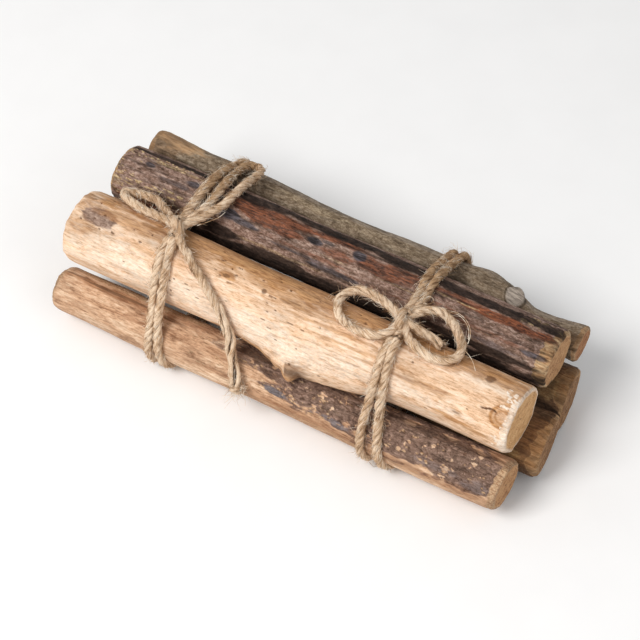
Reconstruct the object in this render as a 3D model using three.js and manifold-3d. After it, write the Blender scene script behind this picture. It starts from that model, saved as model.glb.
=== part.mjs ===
// A bundle of five sawn sticks held together by two ties of jute twine.
// Millimetres. +X runs along the sticks, +Z is up, and the flattened undersides of the twine lie at z = 0.
import * as THREE from 'three';
import { mergeVertices } from 'three/addons/utils/BufferGeometryUtils.js';
import Module from 'manifold-3d';

const wasm = await Module();
wasm.setup();

// Driving dimensions
const STICK_SIDES = 24;
const FORK_SIDES = 28;
const RING_STEP = 12;
const RIM_LENGTH = 1.2; // broken edge round each sawn end, along the stick
const RIM_DEPTH = 0.9; // the same edge, in from the bark
const BED_GAP = 0.5; // air kept where a lump lies on the stick below it
const TWINE_RADIUS = 1.45;
const TWINE_SIDES = 8;
const TURN_STEP = 6.5; // length of one straight stretch of twine in a turn
const TURN_GAP = 0.75; // twine to bark at the corners of a turn, so its straight stretches stay clear
const OUTLINE_SPOKES = 24; // directions in which a bark point is pushed out to where the twine runs
const OUTLINE_POINTS = 720; // fine points round the taut outline, from which the turns are spaced
const GROOVE_SPREAD = 20; // degrees, half-width of the groove between the two lobes of the fork
const KNOT_SEGMENTS = [12, 8];
const SLAB = { side: 400, depth: 10 }; // what lies below z = 0 and flattens the twine
const WELD_DISTANCE = 1e-4;

// Each stick: centre and radius at its two ends, then shape lists along X.
// bend holds [x, sideways, upwards], swell holds [x, extra radius].
// A lump stands out at an angle round the stick (0 = +Y, 90 = up), with its height listed along X.
const STICKS = {
  front_lower_stick: {
    colour: 0xb5835c,
    from: { x: -92.4, y: -29.2, z: 11.9, r: 8.7 },
    to: { x: 89.2, y: -29.6, z: 12.5, r: 9.4 },
    bend: [[-92, 0, 0.2], [-50, 0, 0], [0, 0.3, 0.2], [45, 0, 0], [89, 0.3, 0.4]],
    swell: [[-92, -0.3], [-50, 0.1], [-10, -0.2], [40, 0], [80, 0.3], [90, 0.1]],
    lumps: [],
  },
  pale_stick: {
    colour: 0xe3c59a,
    from: { x: -90.6, y: -16.2, z: 34.1, r: 13.8 },
    to: { x: 86.2, y: -14.6, z: 31.3, r: 12.4 },
    bend: [[-90, 0, 0], [-40, 0.1, 0.2], [10, -0.3, 0], [50, 0, 0], [86, 0, 0]],
    swell: [[-90, -0.2], [-70, 0.1], [-20, -0.2], [12, 0.3], [50, -0.1], [86, 0]],
    lumps: [
      {
        angle: -152,
        spread: 30,
        height: [[-24, 0], [-9, 1.9], [0, 4.4], [5.8, 7.2], [9, 5], [17, 3.2], [27, 2.2], [42, 0]],
      },
    ],
    rings: [-24, -17, -3, 2, 5.8, 9, 14],
    bedsOn: 'front_lower_stick',
  },
  dark_bark_stick: {
    colour: 0x5d4a42,
    from: { x: -89.8, y: 11.7, z: 37.0, r: 11.1 },
    to: { x: 86.4, y: 12.7, z: 34.5, r: 10.9 },
    bend: [[-90, 0, 0], [-45, 0.1, 0], [0, 0.2, -0.2], [40, 0, 0], [86, 0, 0]],
    swell: [[-90, -0.2], [-60, 0.1], [-15, -0.2], [25, 0.1], [60, 0.2], [86, 0]],
    lumps: [{ angle: 70, spread: 26, height: [[-36, 0], [-26, 0.7], [-14, 0]] }],
  },
  grey_stick: {
    colour: 0x8b7a61,
    from: { x: -89.6, y: 31.5, z: 33.1, r: 7.0 },
    to: { x: 88.6, y: 29.2, z: 26.8, r: 6.9 },
    bend: [[-90, 0, 0], [-68, -0.4, -0.6], [-45, -0.1, 0], [-12, -0.4, -0.3], [22, 0.6, 0.6],
      [40, 1.3, 1.4], [56, 2.2, 2.3], [63, 0.9, 0.9], [70, -0.5, -0.7], [77, -0.4, -0.5], [88, 0, 0]],
    swell: [[-90, 0], [-40, 0.3], [0, 0.1], [36, 0.3], [57, 0.9], [64, -0.4], [70, -1.5], [77, -1.2],
      [84, -0.4], [88, 0]],
    lumps: [
      { angle: 87, spread: 26, flat: true, height: [[57, 0], [58, 1.7], [64, 1.7], [65, 0]] },
    ],
    rings: [49, 57, 58, 61, 64, 65, 69],
  },
  forked_stick: {
    colour: 0x8a6a49,
    from: { x: -91.4, y: -1.6, z: 13.6, r: 10.4 },
    to: { x: 92.4, y: -1.6, z: 13.9, r: 10.8 },
    bend: [[-91, 0, 0], [-60, 1.5, 0], [-10, 3.1, -0.1], [40, 6.1, -1.6], [62, 6.7, -3.1], [91, 7, -3.1]],
    swell: [[-91, 0], [92, 0]],
    lumps: [],
    fork: {
      start: -30, end: 88, halfWidth: 23.8, waist: 9, flatten: 0.79, farther: 0.05, groove: 2.2, under: 1.6,
    },
  },
};

// Each tie: its knot, the two turns round the bundle as [share of the way round, x], and its free twine.
// The share runs from the knot, down the front, under the bundle, up the back and over the top.
const TIES = {
  left_twine_tie: {
    knot: { at: [-51.2, -12.3, 50.6], size: [3.9, 3.5, 2.6] },
    turns: [
      [[0, -52.4], [0.06, -51.2], [0.13, -50.2], [0.3, -47.6], [0.72, -54.6], [0.88, -54.2], [1, -52.6]],
      [[0, -50.4], [0.06, -47.6], [0.16, -47], [0.3, -41.6], [0.72, -53], [0.88, -52.6], [1, -51.4]],
    ],
    loops: [
      [
        [-51.2, -12.3, 50.6], [-55.0, -11.2, 50.4], [-59.2, -10.7, 49.8], [-63.6, -10.2, 49.2],
        [-68.7, -9.5, 48.8], [-73.7, -8.4, 48.4], [-77.3, -7.0, 47.9], [-78.6, -5.0, 47.2],
        [-76.6, -3.2, 46.4], [-72.2, -1.8, 46.0], [-67.2, -1.9, 46.4], [-62.6, -4.2, 47.6],
        [-58.6, -7.4, 49.0], [-54.8, -10.2, 50.1], [-51.2, -12.3, 50.6],
      ],
      [
        [-51.2, -12.3, 50.6], [-49.6, -7.3, 50.5], [-48.4, -2.2, 50.4], [-47.8, 3.0, 50.2],
        [-48.0, 8.6, 50.1], [-48.4, 14.6, 49.5], [-49.2, 20.2, 47.6], [-50.0, 25.4, 45.2],
        [-50.5, 30.2, 42.9], [-49.7, 33.6, 41.3], [-47.4, 35.0, 40.6], [-45.0, 33.6, 41.4],
        [-43.7, 29.6, 43.1], [-43.2, 24.0, 45.6], [-42.6, 17.4, 48.7], [-42.5, 11.4, 50.1],
        [-43.2, 5.2, 50.3], [-45.1, -0.8, 50.5], [-48.0, -7.0, 50.7], [-51.2, -12.3, 50.6],
      ],
    ],
    tail: [
      [-51.2, -12.3, 50.6], [-47.6, -16.6, 49.7], [-43.0, -19.6, 48.8], [-39.0, -22.2, 47.7],
      [-34.8, -24.6, 46.2], [-30.9, -26.6, 44.4], [-27.4, -28.3, 42.3], [-24.0, -29.8, 39.6],
      [-21.2, -31.0, 36.2], [-19.3, -31.9, 32.0], [-18.0, -32.7, 28.0], [-16.6, -34.4, 24.3],
      [-14.2, -37.1, 21.2], [-12.0, -39.3, 18.3], [-11.2, -40.3, 15.8],
    ],
    tailKnot: { at: [-11.2, -40.4, 15.6], size: [2.2, 2.1, 2.3] },
  },
  right_twine_tie: {
    knot: { at: [36.8, -8.6, 48.4], size: [3.9, 3.6, 2.6] },
    turns: [
      [[0, 36.2], [0.06, 37], [0.17, 37], [0.3, 41], [0.7, 32.6], [0.8, 33.8], [0.9, 35.4], [1, 35.8]],
      [[0, 38.8], [0.05, 39.8], [0.12, 41.2], [0.3, 49.2], [0.7, 36.8], [0.8, 37.6], [0.9, 38.4], [1, 38]],
    ],
    loops: [
      [
        [36.8, -8.6, 48.4], [32.4, -6.6, 48.8], [27.4, -4.8, 48.8], [22.2, -3.7, 48.4],
        [17.2, -4.2, 48.1], [13.9, -7.2, 47.8], [13.4, -11.4, 47.6], [15.3, -15.4, 47.4],
        [19.2, -18.0, 47.1], [24.7, -19.0, 46.8], [30.6, -18.3, 46.7], [34.8, -15.0, 47.3],
        [36.8, -8.6, 48.4],
      ],
      [
        [36.8, -8.6, 48.4], [39.6, -4.0, 48.8], [42.9, -0.6, 49.0], [47.2, 0.6, 48.9],
        [51.6, -0.8, 48.4], [55.8, -4.0, 47.8], [59.0, -7.6, 47.0], [59.9, -11.4, 46.4],
        [58.2, -14.8, 46.3], [54.1, -16.8, 46.4], [48.6, -16.3, 46.6], [42.8, -14.2, 47.2],
        [36.8, -8.6, 48.4],
      ],
    ],
    tail: [
      [36.8, -8.6, 48.4], [40.6, -9.2, 48.2], [44.2, -9.2, 47.4], [47.6, -9.0, 46.4],
      [50.6, -9.2, 45.6], [53.2, -10.0, 45.3],
    ],
    tailKnot: null,
  },
};

const TWINE_COLOUR = 0xb39163;
const BARK_ROUGHNESS = 0.85;
const TWINE_ROUGHNESS = 0.95;

// Value of a shape list at x, eased between its points and held beyond them.
function along(list, x, column = 1) {
  if (x <= list[0][0]) return list[0][column];
  for (let i = 1; i < list.length; i++) {
    if (x <= list[i][0]) {
      const t = (x - list[i - 1][0]) / (list[i][0] - list[i - 1][0]);
      const eased = t * t * (3 - 2 * t);
      return list[i - 1][column] + (list[i][column] - list[i - 1][column]) * eased;
    }
  }
  return list[list.length - 1][column];
}

function mix(a, b, t) {
  return a + (b - a) * t;
}

function centreAt(stick, x) {
  const t = (x - stick.from.x) / (stick.to.x - stick.from.x);
  return {
    y: mix(stick.from.y, stick.to.y, t) + along(stick.bend, x, 1),
    z: mix(stick.from.z, stick.to.z, t) + along(stick.bend, x, 2),
    r: mix(stick.from.r, stick.to.r, t) + along(stick.swell, x),
  };
}

// Signed difference between two directions round a stick, in degrees.
function turnBetween(a, b) {
  return ((a - b + 540) % 360) - 180;
}

// Height of a lump: its list along X, faded round the stick. A flat one is a sawn stub with steep sides.
function lumpHeight(lump, x, angle) {
  const off = Math.abs(turnBetween(angle, lump.angle)) / lump.spread;
  const fade = lump.flat ? Math.exp(-(off ** 6)) : Math.exp(-(off ** 2));
  return along(lump.height, x) * fade;
}

// Longest reach from (y, z) in a direction before it meets the neighbour's round section.
function reachBefore(y, z, direction, neighbour, x) {
  const other = centreAt(neighbour, x);
  const dy = other.y - y;
  const dz = other.z - z;
  const forward = dy * direction.y + dz * direction.z;
  const aside = dy * direction.z - dz * direction.y;
  const radius = other.r + BED_GAP;
  if (forward < 0 || Math.abs(aside) >= radius) return Infinity;
  return forward - Math.sqrt(radius * radius - aside * aside);
}

// Section of a round stick: its radius with the lumps on top, held clear of the stick it beds on.
function roundSection(stick, x, sides, inset) {
  const centre = centreAt(stick, x);
  const points = [];
  for (let i = 0; i < sides; i++) {
    const angle = (360 * i) / sides;
    const direction = { y: Math.cos((angle * Math.PI) / 180), z: Math.sin((angle * Math.PI) / 180) };
    let radius = centre.r - inset;
    for (const lump of stick.lumps) radius += lumpHeight(lump, x, angle);
    if (stick.bedsOn) {
      const limit = reachBefore(centre.y, centre.z, direction, STICKS[stick.bedsOn], x);
      radius = Math.min(radius, limit);
    }
    points.push({ y: centre.y + radius * direction.y, z: centre.z + radius * direction.z });
  }
  return points;
}

// Section of the forked stick: a circle that grows into a waisted oval, radius² = a²cos² + b²sin²,
// flattened in height, less so on its farther lobe, and grooved between the two lobes, above and below.
function forkSection(stick, x, sides, inset) {
  const centre = centreAt(stick, x);
  const fork = stick.fork;
  const t = THREE.MathUtils.smoothstep(x, fork.start, fork.end);
  const a = mix(centre.r, fork.halfWidth, t) - inset;
  const b = mix(centre.r, fork.waist, t) - inset;
  const points = [];
  for (let i = 0; i < sides; i++) {
    const angle = (360 * i) / sides;
    const c = Math.cos((angle * Math.PI) / 180);
    const s = Math.sin((angle * Math.PI) / 180);
    const above = fork.groove * Math.exp(-((turnBetween(angle, 90) / GROOVE_SPREAD) ** 2));
    const below = fork.under * Math.exp(-((turnBetween(angle, 270) / GROOVE_SPREAD) ** 2));
    const radius = Math.hypot(a * c, b * s) - t * (above + below);
    const flatten = mix(1, fork.flatten + fork.farther * c, t);
    points.push({ y: centre.y + radius * c, z: centre.z + radius * s * flatten });
  }
  return points;
}

function sectionAt(stick, x, inset = 0) {
  return stick.fork ? forkSection(stick, x, FORK_SIDES, inset) : roundSection(stick, x, STICK_SIDES, inset);
}

// Ring positions along a stick: its rims, an even spacing between them, and any extra rings it asks for.
function ringPositions(stick) {
  const first = stick.from.x + RIM_LENGTH;
  const last = stick.to.x - RIM_LENGTH;
  const extra = stick.rings ?? [];
  const steps = Math.round((last - first) / RING_STEP);
  const even = [];
  for (let i = 1; i < steps; i++) {
    const x = first + ((last - first) * i) / steps;
    const crowded = extra.some((other) => Math.abs(other - x) < RING_STEP / 3);
    if (!crowded) even.push(x);
  }
  return [first, ...[...even, ...extra].sort((p, q) => p - q), last];
}

// Triangles that fill a ring lying in a plane across the stick, facing +X.
function flatCap(ring) {
  return THREE.ShapeUtils.triangulateShape(ring.map(([, y, z]) => new THREE.Vector2(y, z)), []);
}

// Closed skin through equal rings of points, with a flat cut across each end.
function loft(rings) {
  const sides = rings[0].length;
  const positions = rings.flat().flat();
  const index = [];
  for (let i = 0; i + 1 < rings.length; i++) {
    for (let j = 0; j < sides; j++) {
      const a = i * sides + j;
      const b = i * sides + ((j + 1) % sides);
      index.push(a, b, b + sides, a, b + sides, a + sides);
    }
  }
  const last = (rings.length - 1) * sides;
  for (const [a, b, c] of flatCap(rings[0])) index.push(a, c, b);
  for (const [a, b, c] of flatCap(rings[rings.length - 1])) index.push(last + a, last + b, last + c);
  const geometry = new THREE.BufferGeometry();
  geometry.setAttribute('position', new THREE.Float32BufferAttribute(positions, 3));
  geometry.setIndex(index);
  return geometry;
}

function stickGeometry(stick) {
  const ring = (x, inset) => sectionAt(stick, x, inset).map((p) => [x, p.y, p.z]);
  const rings = ringPositions(stick).map((x) => ring(x, 0));
  rings.unshift(ring(stick.from.x, RIM_DEPTH));
  rings.push(ring(stick.to.x, RIM_DEPTH));
  return loft(rings);
}

// Outline of a set of points by Andrew's monotone chain, anticlockwise seen with +Y right and +Z up.
function convexOutline(points) {
  const sorted = [...points].sort((p, q) => p.y - q.y || p.z - q.z);
  const cross = (o, p, q) => (p.y - o.y) * (q.z - o.z) - (p.z - o.z) * (q.y - o.y);
  const chain = (list) => {
    const out = [];
    for (const p of list) {
      while (out.length > 1 && cross(out[out.length - 2], out[out.length - 1], p) <= 0) out.pop();
      out.push(p);
    }
    out.pop();
    return out;
  };
  return [...chain(sorted), ...chain(sorted.reverse())];
}

// Taut line of twine round every stick where the tie lies, one twine radius and a gap outside them.
function tautOutline(tie) {
  const reach = TWINE_RADIUS + TURN_GAP;
  const points = [];
  for (const [, x] of tie.turns.flat()) {
    for (const p of Object.values(STICKS).flatMap((stick) => sectionAt(stick, x))) {
      for (let i = 0; i < OUTLINE_SPOKES; i++) {
        const angle = (2 * Math.PI * i) / OUTLINE_SPOKES;
        points.push({ y: p.y + reach * Math.cos(angle), z: p.z + reach * Math.sin(angle) });
      }
    }
  }
  return convexOutline(points);
}

// Points spaced evenly round the outline, starting above the knot and going down the front.
function walkOutline(outline, knotY, count) {
  const loop = [...outline, outline[0]].map((p) => new THREE.Vector3(0, p.y, p.z));
  const path = new THREE.CurvePath();
  for (let i = 0; i + 1 < loop.length; i++) path.add(new THREE.LineCurve3(loop[i], loop[i + 1]));
  const fine = path.getSpacedPoints(OUTLINE_POINTS);
  const middle = outline.reduce((sum, p) => sum + p.z, 0) / outline.length;
  let start = 0;
  fine.forEach((p, i) => {
    const better = Math.abs(p.y - knotY) < Math.abs(fine[start].y - knotY);
    if (p.z > middle && (better || fine[start].z <= middle)) start = i;
  });
  const points = [];
  for (let i = 0; i <= count; i++) {
    points.push(fine[(start + Math.round((OUTLINE_POINTS * i) / count)) % OUTLINE_POINTS]);
  }
  return points;
}

// One turn of twine: the taut outline, with x eased through the turn's list as it goes round.
function turnRoute(tie, turn) {
  const outline = tautOutline(tie);
  const length = outline.reduce((sum, p, i) => {
    const q = outline[(i + 1) % outline.length];
    return sum + Math.hypot(q.y - p.y, q.z - p.z);
  }, 0);
  const count = Math.round(length / TURN_STEP);
  return walkOutline(outline, tie.knot.at[1], count).map(
    (p, i) => new THREE.Vector3(along(turn, i / count), p.y, p.z),
  );
}

// A smooth curve whose rings fall on the listed points, so a tube bends only there.
class TwineCurve extends THREE.CatmullRomCurve3 {
  constructor(points) {
    super(points, false, 'centripetal');
  }

  getPointAt(u, target) {
    return this.getPoint(u, target);
  }

  getTangentAt(u, target) {
    return this.getTangent(u, target);
  }
}

function twineTube(points) {
  const section = new THREE.Shape();
  for (let i = 0; i < TWINE_SIDES; i++) {
    const angle = (2 * Math.PI * (i + 0.5)) / TWINE_SIDES;
    const x = TWINE_RADIUS * Math.cos(angle);
    const y = TWINE_RADIUS * Math.sin(angle);
    if (i === 0) section.moveTo(x, y);
    else section.lineTo(x, y);
  }
  section.closePath();
  return new THREE.ExtrudeGeometry(section, {
    steps: points.length - 1,
    extrudePath: new TwineCurve(points),
    curveSegments: 1,
  });
}

function knotGeometry(knot) {
  const geometry = new THREE.SphereGeometry(1, ...KNOT_SEGMENTS);
  geometry.scale(...knot.size);
  geometry.translate(...knot.at);
  return geometry;
}

function toSolid(geometry) {
  const bare = geometry.clone();
  bare.deleteAttribute('normal');
  bare.deleteAttribute('uv');
  const merged = mergeVertices(bare, WELD_DISTANCE);
  return new wasm.Manifold(
    new wasm.Mesh({
      numProp: 3,
      vertProperties: new Float32Array(merged.attributes.position.array),
      triVerts: new Uint32Array(merged.index.array),
    }),
  );
}

function toGeometry(solid) {
  const mesh = solid.getMesh();
  const geometry = new THREE.BufferGeometry();
  geometry.setAttribute('position', new THREE.BufferAttribute(mesh.vertProperties, 3));
  geometry.setIndex(new THREE.BufferAttribute(mesh.triVerts, 1));
  return geometry;
}

// The bundle's weight presses the twine flat where it lies: everything below z = 0 is taken off.
function pressFlat(solid) {
  const slab = new THREE.BoxGeometry(SLAB.side, SLAB.side, SLAB.depth);
  slab.translate(0, 0, -SLAB.depth / 2);
  return solid.subtract(toSolid(slab));
}

// One length of twine: two turns, the knot, the bow's loops and the tail, joined in one solid.
function tieGeometry(tie) {
  const routes = tie.turns.map((turn) => turnRoute(tie, turn));
  for (const route of [...tie.loops, tie.tail]) routes.push(route.map((p) => new THREE.Vector3(...p)));
  let solid = toSolid(knotGeometry(tie.knot));
  for (const route of routes) solid = solid.add(toSolid(twineTube(route)));
  if (tie.tailKnot) solid = solid.add(toSolid(knotGeometry(tie.tailKnot)));
  return toGeometry(pressFlat(solid));
}

function piece(name, geometry, color, roughness) {
  const mesh = new THREE.Mesh(geometry, new THREE.MeshStandardMaterial({ color, roughness, metalness: 0 }));
  mesh.name = name;
  return mesh;
}

const bundle = new THREE.Group();
for (const [name, stick] of Object.entries(STICKS)) {
  bundle.add(piece(name, stickGeometry(stick), stick.colour, BARK_ROUGHNESS));
}
for (const [name, tie] of Object.entries(TIES)) {
  bundle.add(piece(name, tieGeometry(tie), TWINE_COLOUR, TWINE_ROUGHNESS));
}

export default bundle;
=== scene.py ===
"""A bundle of five sawn sticks tied with two lengths of jute twine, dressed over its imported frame.

Metres, +X along the sticks, +Z up, the bundle lying on z = 0. Lengths inside the functions are in millimetres
and turn into metres when a mesh is made. Angles round a stick are in degrees: 0 is +Y, 90 is up, 180 is -Y.
"""

import math

import bpy
import numpy as np
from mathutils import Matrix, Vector


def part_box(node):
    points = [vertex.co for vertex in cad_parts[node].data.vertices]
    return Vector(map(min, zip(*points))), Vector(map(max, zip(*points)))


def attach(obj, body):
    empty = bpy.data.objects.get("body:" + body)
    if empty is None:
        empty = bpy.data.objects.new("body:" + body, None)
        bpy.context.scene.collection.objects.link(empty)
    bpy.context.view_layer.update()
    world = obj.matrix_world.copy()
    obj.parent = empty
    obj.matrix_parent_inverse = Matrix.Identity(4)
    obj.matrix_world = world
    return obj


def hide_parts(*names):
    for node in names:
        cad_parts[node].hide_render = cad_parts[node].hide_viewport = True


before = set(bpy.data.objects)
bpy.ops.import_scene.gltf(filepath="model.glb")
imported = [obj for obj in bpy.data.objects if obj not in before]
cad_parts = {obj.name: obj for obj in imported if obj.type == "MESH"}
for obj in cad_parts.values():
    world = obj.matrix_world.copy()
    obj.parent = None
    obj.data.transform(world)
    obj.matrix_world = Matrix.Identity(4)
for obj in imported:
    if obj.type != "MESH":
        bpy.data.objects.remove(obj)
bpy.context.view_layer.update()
MM = 0.001

# ---------------------------------------------------------------- camera
AZIMUTH, ELEVATION, DISTANCE = math.radians(30), math.radians(50), 0.763
TARGET = Vector((0.0004, -0.00185, 0.0198))
LENS, SENSOR = 120, 36  # mm
NEAREST, FURTHEST = 0.05, 20  # what the camera sees, in metres from it


def place_camera():
    """A long lens looking down at the bundle from its front right."""
    level = math.cos(ELEVATION)
    back = Vector((math.sin(AZIMUTH) * level, -math.cos(AZIMUTH) * level, math.sin(ELEVATION)))
    camera = bpy.data.objects.new("camera", bpy.data.cameras.new("camera"))
    camera.data.lens, camera.data.sensor_width = LENS, SENSOR
    camera.data.clip_start, camera.data.clip_end = NEAREST, FURTHEST
    camera.location = TARGET + back * DISTANCE
    camera.rotation_euler = back.to_track_quat("Z", "Y").to_euler()
    bpy.context.scene.collection.objects.link(camera)
    bpy.context.scene.camera = camera


place_camera()

# ---------------------------------------------------------------- twine routes, in mm, as the frame has them
TWINE_RADIUS = 1.55  # mm over the plies, 0.1 more than the frame's plain tubes
PLY_LAY = 11.5  # mm in which a ply goes once round its strand
PATH_STEP = 0.45  # mm between the points of a path
SPOKES = 720  # directions in which a taut turn is worked out
FIBRE_POINTS = 36  # points along each sprung fibre
TIES = {
    "left": {
        "node": "left_twine_tie",
        "seed": 300,
        "knot": (-51.2, -12.3, 50.6),
        "turns": [
            [
                (0, -52.4), (0.06, -51.2), (0.13, -50.2), (0.3, -47.6), (0.72, -54.6), (0.88, -54.2),
                (1, -52.6),
            ],
            [
                (0, -50.4), (0.06, -47.6), (0.16, -47), (0.3, -41.6), (0.72, -53), (0.88, -52.6),
                (1, -51.4),
            ],
        ],
        "small_loop": [
            (-51.2, -12.3, 50.6), (-55.0, -11.2, 50.4), (-59.2, -10.7, 49.8), (-63.6, -10.2, 49.2),
            (-68.7, -9.5, 48.8), (-73.7, -8.4, 48.4), (-77.3, -7.0, 47.9), (-78.6, -5.0, 47.2),
            (-76.6, -3.2, 46.4), (-72.2, -1.8, 46.0), (-67.2, -1.9, 46.4), (-62.6, -4.2, 47.6),
            (-58.6, -7.4, 49.0), (-54.8, -10.2, 50.1), (-51.2, -12.3, 50.6),
        ],
        "large_loop": [
            (-51.2, -12.3, 50.6), (-49.6, -7.3, 50.5), (-48.4, -2.2, 50.4), (-47.8, 3.0, 50.2),
            (-48.0, 8.6, 50.1), (-48.4, 14.6, 49.5), (-49.2, 20.2, 47.6), (-50.0, 25.4, 45.2),
            (-50.5, 30.2, 42.9), (-49.7, 33.6, 41.3), (-47.4, 35.0, 40.6), (-45.0, 33.6, 41.4),
            (-43.7, 29.6, 43.1), (-43.2, 24.0, 45.6), (-42.6, 17.4, 48.7), (-42.5, 11.4, 50.1),
            (-43.2, 5.2, 50.3), (-45.1, -0.8, 50.5), (-48.0, -7.0, 50.7), (-51.2, -12.3, 50.6),
        ],
        "tail": [
            (-51.2, -12.3, 50.6), (-47.6, -16.6, 49.7), (-43.0, -19.6, 48.8), (-39.0, -22.2, 47.7),
            (-34.8, -24.6, 46.2), (-30.9, -26.6, 44.4), (-27.4, -28.3, 42.3), (-24.0, -29.8, 39.6),
            (-21.2, -31.0, 36.2), (-19.3, -31.9, 32.0), (-18.0, -32.7, 28.0), (-16.6, -34.4, 24.3),
            (-14.2, -37.1, 21.2), (-12.0, -39.3, 18.3), (-11.2, -40.3, 15.8),
        ],
        "tail_knot": (-11.2, -40.4, 15.6),
        "band": {"across": (0.62, 0.78, 0.1), "reach": (2.9, 2.7), "drift": 1.6},
    },
    "right": {
        "node": "right_twine_tie",
        "seed": 400,
        "knot": (36.8, -8.6, 48.4),
        "turns": [
            [
                (0, 36.2), (0.06, 37), (0.17, 37), (0.3, 41), (0.7, 32.6), (0.8, 33.8), (0.9, 35.4),
                (1, 35.8),
            ],
            [
                (0, 38.8), (0.05, 39.8), (0.12, 41.2), (0.3, 49.2), (0.7, 36.8), (0.8, 37.2), (0.9, 38.2),
                (1, 38),
            ],
        ],
        "left_loop": [
            (36.8, -8.6, 48.4), (32.4, -6.6, 48.8), (27.4, -4.8, 48.8), (22.2, -3.7, 48.4),
            (17.2, -4.2, 48.1), (13.9, -7.2, 47.8), (13.4, -11.4, 47.6), (15.3, -15.4, 47.4),
            (19.2, -18.0, 47.1), (24.7, -19.0, 46.8), (30.6, -18.3, 46.7), (34.8, -15.0, 47.3),
            (36.8, -8.6, 48.4),
        ],
        "right_loop": [
            (36.8, -8.6, 48.4), (39.6, -4.0, 48.8), (42.9, -0.6, 49.0), (47.2, 0.6, 48.9),
            (51.6, -0.8, 48.4), (55.8, -4.0, 47.8), (59.0, -7.6, 47.0), (59.9, -11.4, 46.4),
            (58.2, -14.8, 46.3), (54.1, -16.8, 46.4), (48.6, -16.3, 46.6), (42.8, -14.2, 47.2),
            (36.8, -8.6, 48.4),
        ],
        "short_tail": [
            (36.8, -8.6, 48.4), (40.6, -9.2, 48.2), (44.2, -9.2, 47.4), (47.6, -9.0, 46.4),
            (50.6, -9.2, 45.6), (53.2, -10.0, 45.3),
        ],
        "band": {"across": (0.98, 0.1, 0.05), "reach": (3.0, 2.8), "drift": 1.8},
    },
}
# Single long fibres that have sprung out of the ties: four at the right one, the first of them curled into a
# ring, and one at the left.
SPRUNG_FIBRES = [
    [
        (39.0, 1.2, 49.4), (40.3, 0.4, 49.9), (41.9, 0.9, 50.2), (42.5, 2.4, 50.3), (41.6, 3.9, 50.2),
        (40.0, 3.9, 50.0), (39.1, 2.6, 49.8), (39.6, 1.2, 49.7), (41.2, 0.7, 49.9),
    ],
    [
        (47.5, 2.4, 48.6), (51.5, 2.6, 49.6), (55.2, 1.4, 50.0), (58.2, -0.9, 49.9), (60.2, -4.0, 49.3),
        (60.8, -6.8, 48.4),
    ],
    [(48.0, 1.8, 48.9), (52.2, 1.7, 50.0), (56.0, 0.0, 50.3), (58.8, -2.6, 50.0), (60.4, -5.6, 49.0)],
    [(59.0, -9.0, 47.6), (62.0, -10.4, 48.6), (65.4, -12.6, 48.6), (68.2, -15.4, 47.6)],
    [(-46.0, -8.0, 50.2), (-43.2, -5.0, 50.9), (-41.2, -1.4, 50.8), (-40.8, 2.4, 50.2)],
]


# ---------------------------------------------------------------- patterns worked out as whole arrays
def ease(low, high, value):
    """0 below low, 1 above high, and 3t^2 - 2t^3 between."""
    t = np.clip((value - low) / (high - low), 0, 1)
    return t * t * (3 - 2 * t)


def lattice_noise(seed, a, b, count):
    """Gradient noise: each lattice corner has a random slope, and a point blends the heights of its four
    corners' slopes by 6t^5 - 15t^4 + 10t^3. The lattice repeats after count cells in b."""
    i, j = np.floor(a).astype(int), np.floor(b).astype(int)
    u, v = a - i, b - j
    i = i - i.min()
    slope = np.random.default_rng(seed).uniform(0, 2 * np.pi, (i.max() + 2, count))
    along, aside = np.cos(slope), np.sin(slope)
    su, sv = (t**3 * (t * (6 * t - 15) + 10) for t in (u, v))
    height = [
        along[i + p, (j + q) % count] * (u - p) + aside[i + p, (j + q) % count] * (v - q)
        for p, q in ((0, 0), (1, 0), (0, 1), (1, 1))
    ]
    near = height[0] + su * (height[1] - height[0])
    far = height[2] + su * (height[3] - height[2])
    return 1.5 * (near + sv * (far - near))


def wavering(seed, at, cell):
    """Noise along one line, in cells of the given length."""
    return lattice_noise(seed, at / cell, np.full(len(at), 0.5), 4)


def grain(seed, x, degrees, girth, long, wide, octaves=3):
    """Layers of lattice noise on a stick, in cells long mm along it and wide mm round it, each layer half the
    size and half the height of the one before."""
    total, size = 0, 0
    for k in range(octaves):
        cells = max(3, round(girth / wide * 2**k))
        layer = lattice_noise(seed + k, x / long * 2**k, degrees / 360 * cells, cells)
        total, size = total + layer / 2**k, size + 1 / 2**k
    return total / size * 1.3


def turned(degrees, about):
    """Signed difference between two directions round a stick, from -180 to 180 degrees."""
    return (degrees - about + 180) % 360 - 180


def aside_of(degrees, about, radius):
    """Signed distance round the bark from a direction, in mm."""
    return np.radians(turned(degrees, about)) * radius


def patches(x, degrees, noise, marks):
    """Soft ovals (x, angle, half length mm, half width degrees, strength), with noise in their edges."""
    total = np.zeros_like(x)
    for at, angle, length, width, strength in marks:
        away = np.hypot((x - at) / length, turned(degrees, angle) / width)
        total = np.maximum(total, strength * ease(1.25, 0.7, away + 0.45 * noise))
    return total


def scatter(seed, x, degrees, radius, spread, count, length, width):
    """Small ovals dropped at random inside (x low, x high, angle low, angle high), 1 in their middles and 0
    outside, each of its own size. length and width are in mm, as (smallest, largest)."""
    rng = np.random.default_rng(seed)
    total = np.zeros_like(x)
    low_x, high_x, low_angle, high_angle = spread
    for _ in range(count):
        at, angle = rng.uniform(low_x, high_x), rng.uniform(low_angle, high_angle)
        long, wide = rng.uniform(*length), rng.uniform(*width)
        slope = rng.normal(0, 0.08)
        dx = x - at
        ds = aside_of(degrees, angle, radius) - slope * dx
        total = np.maximum(total, ease(1, 0.45, np.hypot(dx / long, ds / wide)))
    return total


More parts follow.
